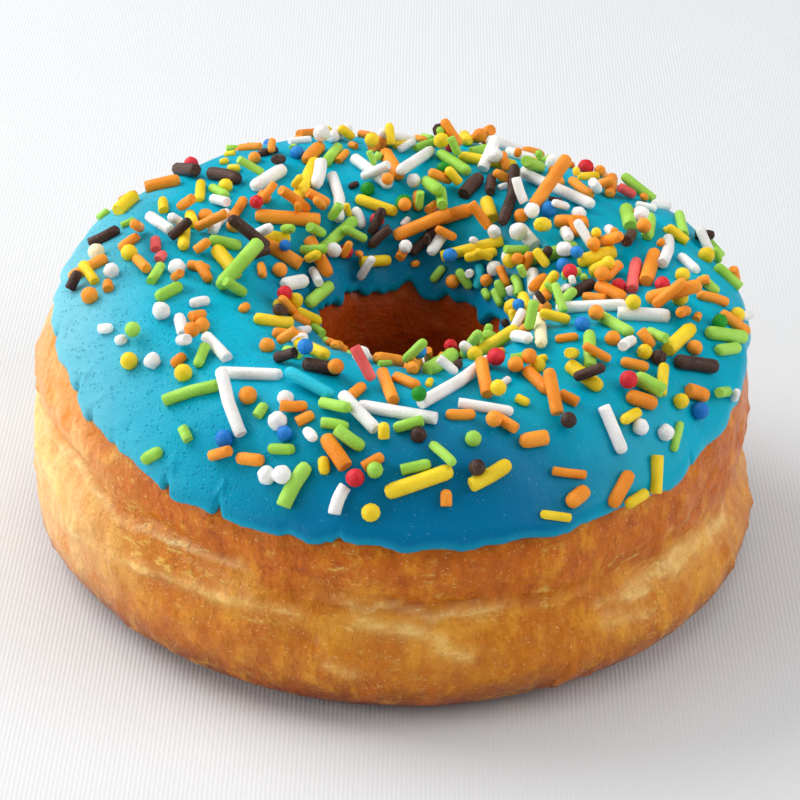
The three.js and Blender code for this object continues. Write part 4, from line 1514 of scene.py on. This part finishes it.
# %% One piece for each colour of rods and of balls
for number, colour in enumerate(SUGAR):
    rods = [s for s in layer.laid if s.colour == colour and s.length > 0]
    balls = [s for s in layer.laid if s.colour == colour and s.length == 0]
    if rods:
        paths = [rod_path(rod) for rod in rods]
        points = np.vstack([line for line, _ in paths])
        starts = range(0, len(points), ROD_POINTS)
        edges = [(start + i, start + i + 1) for start in starts for i in range(ROD_POINTS - 1)]
        thickness = np.concatenate([size for _, size in paths])
        sprinkle_piece(f"{colour}_rods", points, edges, thickness, rod_tree(colour), colour)
    if balls:
        points = np.array([ball.middle for ball in balls]) * MM
        thickness = np.array([ball.radius for ball in balls]) * MM
        sprinkle_piece(f"{colour}_balls", points, [], thickness, ball_tree(colour, number), colour)

# %% [markdown]
# ## The table, the light and the camera
#
# The doughnut lies on a pale board with very fine ribs. The light is soft: a large panel like a window
# stands at the left and a little behind, a low one at the left brightens the pale side of the crust,
# and weak ones from overhead and from the right fill the shadows. So the front stays deeper in colour
# than the left. The camera looks down at about thirty degrees through a long lens, turned a little,
# so that the right side looks lower.
# The colours of the crust and the icing are painted deeper at the front as well, as painted shade, and
# paler at the left, as painted light.

# %% The table
BOARD_GREYS = ((213, 216, 218), (218, 220, 221))
RIB_SCALE, RIB_RELIEF = 0.55, 0.02
BOARD_SIZE, BOARD_BACK = 2.4, 0.3


def board_finish():
    board = Finish("pale ribbed board", 0.6)
    rib = board.tree.nodes.new("ShaderNodeTexWave")
    rib.bands_direction = "X"
    rib.inputs["Scale"].default_value = RIB_SCALE
    board.tree.links.new(board.place, rib.inputs["Vector"])
    ribs = Field(board.tree, rib.outputs["Fac"])
    darker, lighter = (linear(*grey) for grey in BOARD_GREYS)
    board.colour(board.mix(ribs * 0.5 + board.noise(0.02) * 0.5, darker, lighter))
    board.relief(ribs, RIB_RELIEF)
    return board.material


bpy.ops.mesh.primitive_plane_add(size=BOARD_SIZE, location=(0, BOARD_BACK, 0))
board = bpy.context.object
board.name = "board"
board.data.materials.append(board_finish())

# %% The light
# The place and the width in metres, the power in watts and the colour of each panel.
PANELS = {
    "window panel": ((-0.49, 0.27, 0.47), 0.56, 4.85, (1.0, 0.99, 0.98)),
    "left panel": ((-0.55, -0.24, 0.16), 0.5, 2.1, (0.98, 1.0, 1.0)),
    "overhead panel": ((0.1, 0.06, 0.68), 0.7, 1.3, (1.0, 1.0, 1.0)),
    "right panel": ((0.5, -0.12, 0.3), 0.45, 1.65, (1.0, 0.99, 0.98)),
}
LIT_POINT = Vector((0.0, 0.0, 0.02))
ROOM_COLOUR, ROOM_STRENGTH = (0.93, 0.95, 1.0, 1.0), 0.28

for name, (place, width, power, colour) in PANELS.items():
    light = bpy.data.lights.new(name, "AREA")
    light.shape = "DISK"
    light.size = width
    light.energy = power
    light.color = colour
    item = bpy.data.objects.new(name, light)
    bpy.context.scene.collection.objects.link(item)
    item.location = place
    item.rotation_euler = (LIT_POINT - Vector(place)).to_track_quat("-Z", "Y").to_euler()
print(len(PANELS), "panels")

room = bpy.data.worlds.new("pale room")
bpy.context.scene.world = room
room.use_nodes = True
room.node_tree.nodes["Background"].inputs["Color"].default_value = ROOM_COLOUR
room.node_tree.nodes["Background"].inputs["Strength"].default_value = ROOM_STRENGTH
bpy.context.scene.view_settings.view_transform = "Standard"

# %% The camera
LOOKING_DOWN = math.radians(30.18)
TURNED = math.radians(1.464)
DISTANCE = 0.380
AIM = Vector((0.00083, 0.0, 0.0192))
SENSOR_MM, LENS_MM = 36.0, 129.1

camera = bpy.data.cameras.new("camera")
camera.sensor_width = SENSOR_MM
camera.lens = LENS_MM
eye = bpy.data.objects.new("camera", camera)
bpy.context.scene.collection.objects.link(eye)
away = Vector((0.0, -math.cos(LOOKING_DOWN), math.sin(LOOKING_DOWN)))
turned = Matrix.Rotation(math.pi / 2 - LOOKING_DOWN, 4, "X") @ Matrix.Rotation(TURNED, 4, "Z")
eye.matrix_world = Matrix.Translation(AIM + away * DISTANCE) @ turned
bpy.context.scene.camera = eye
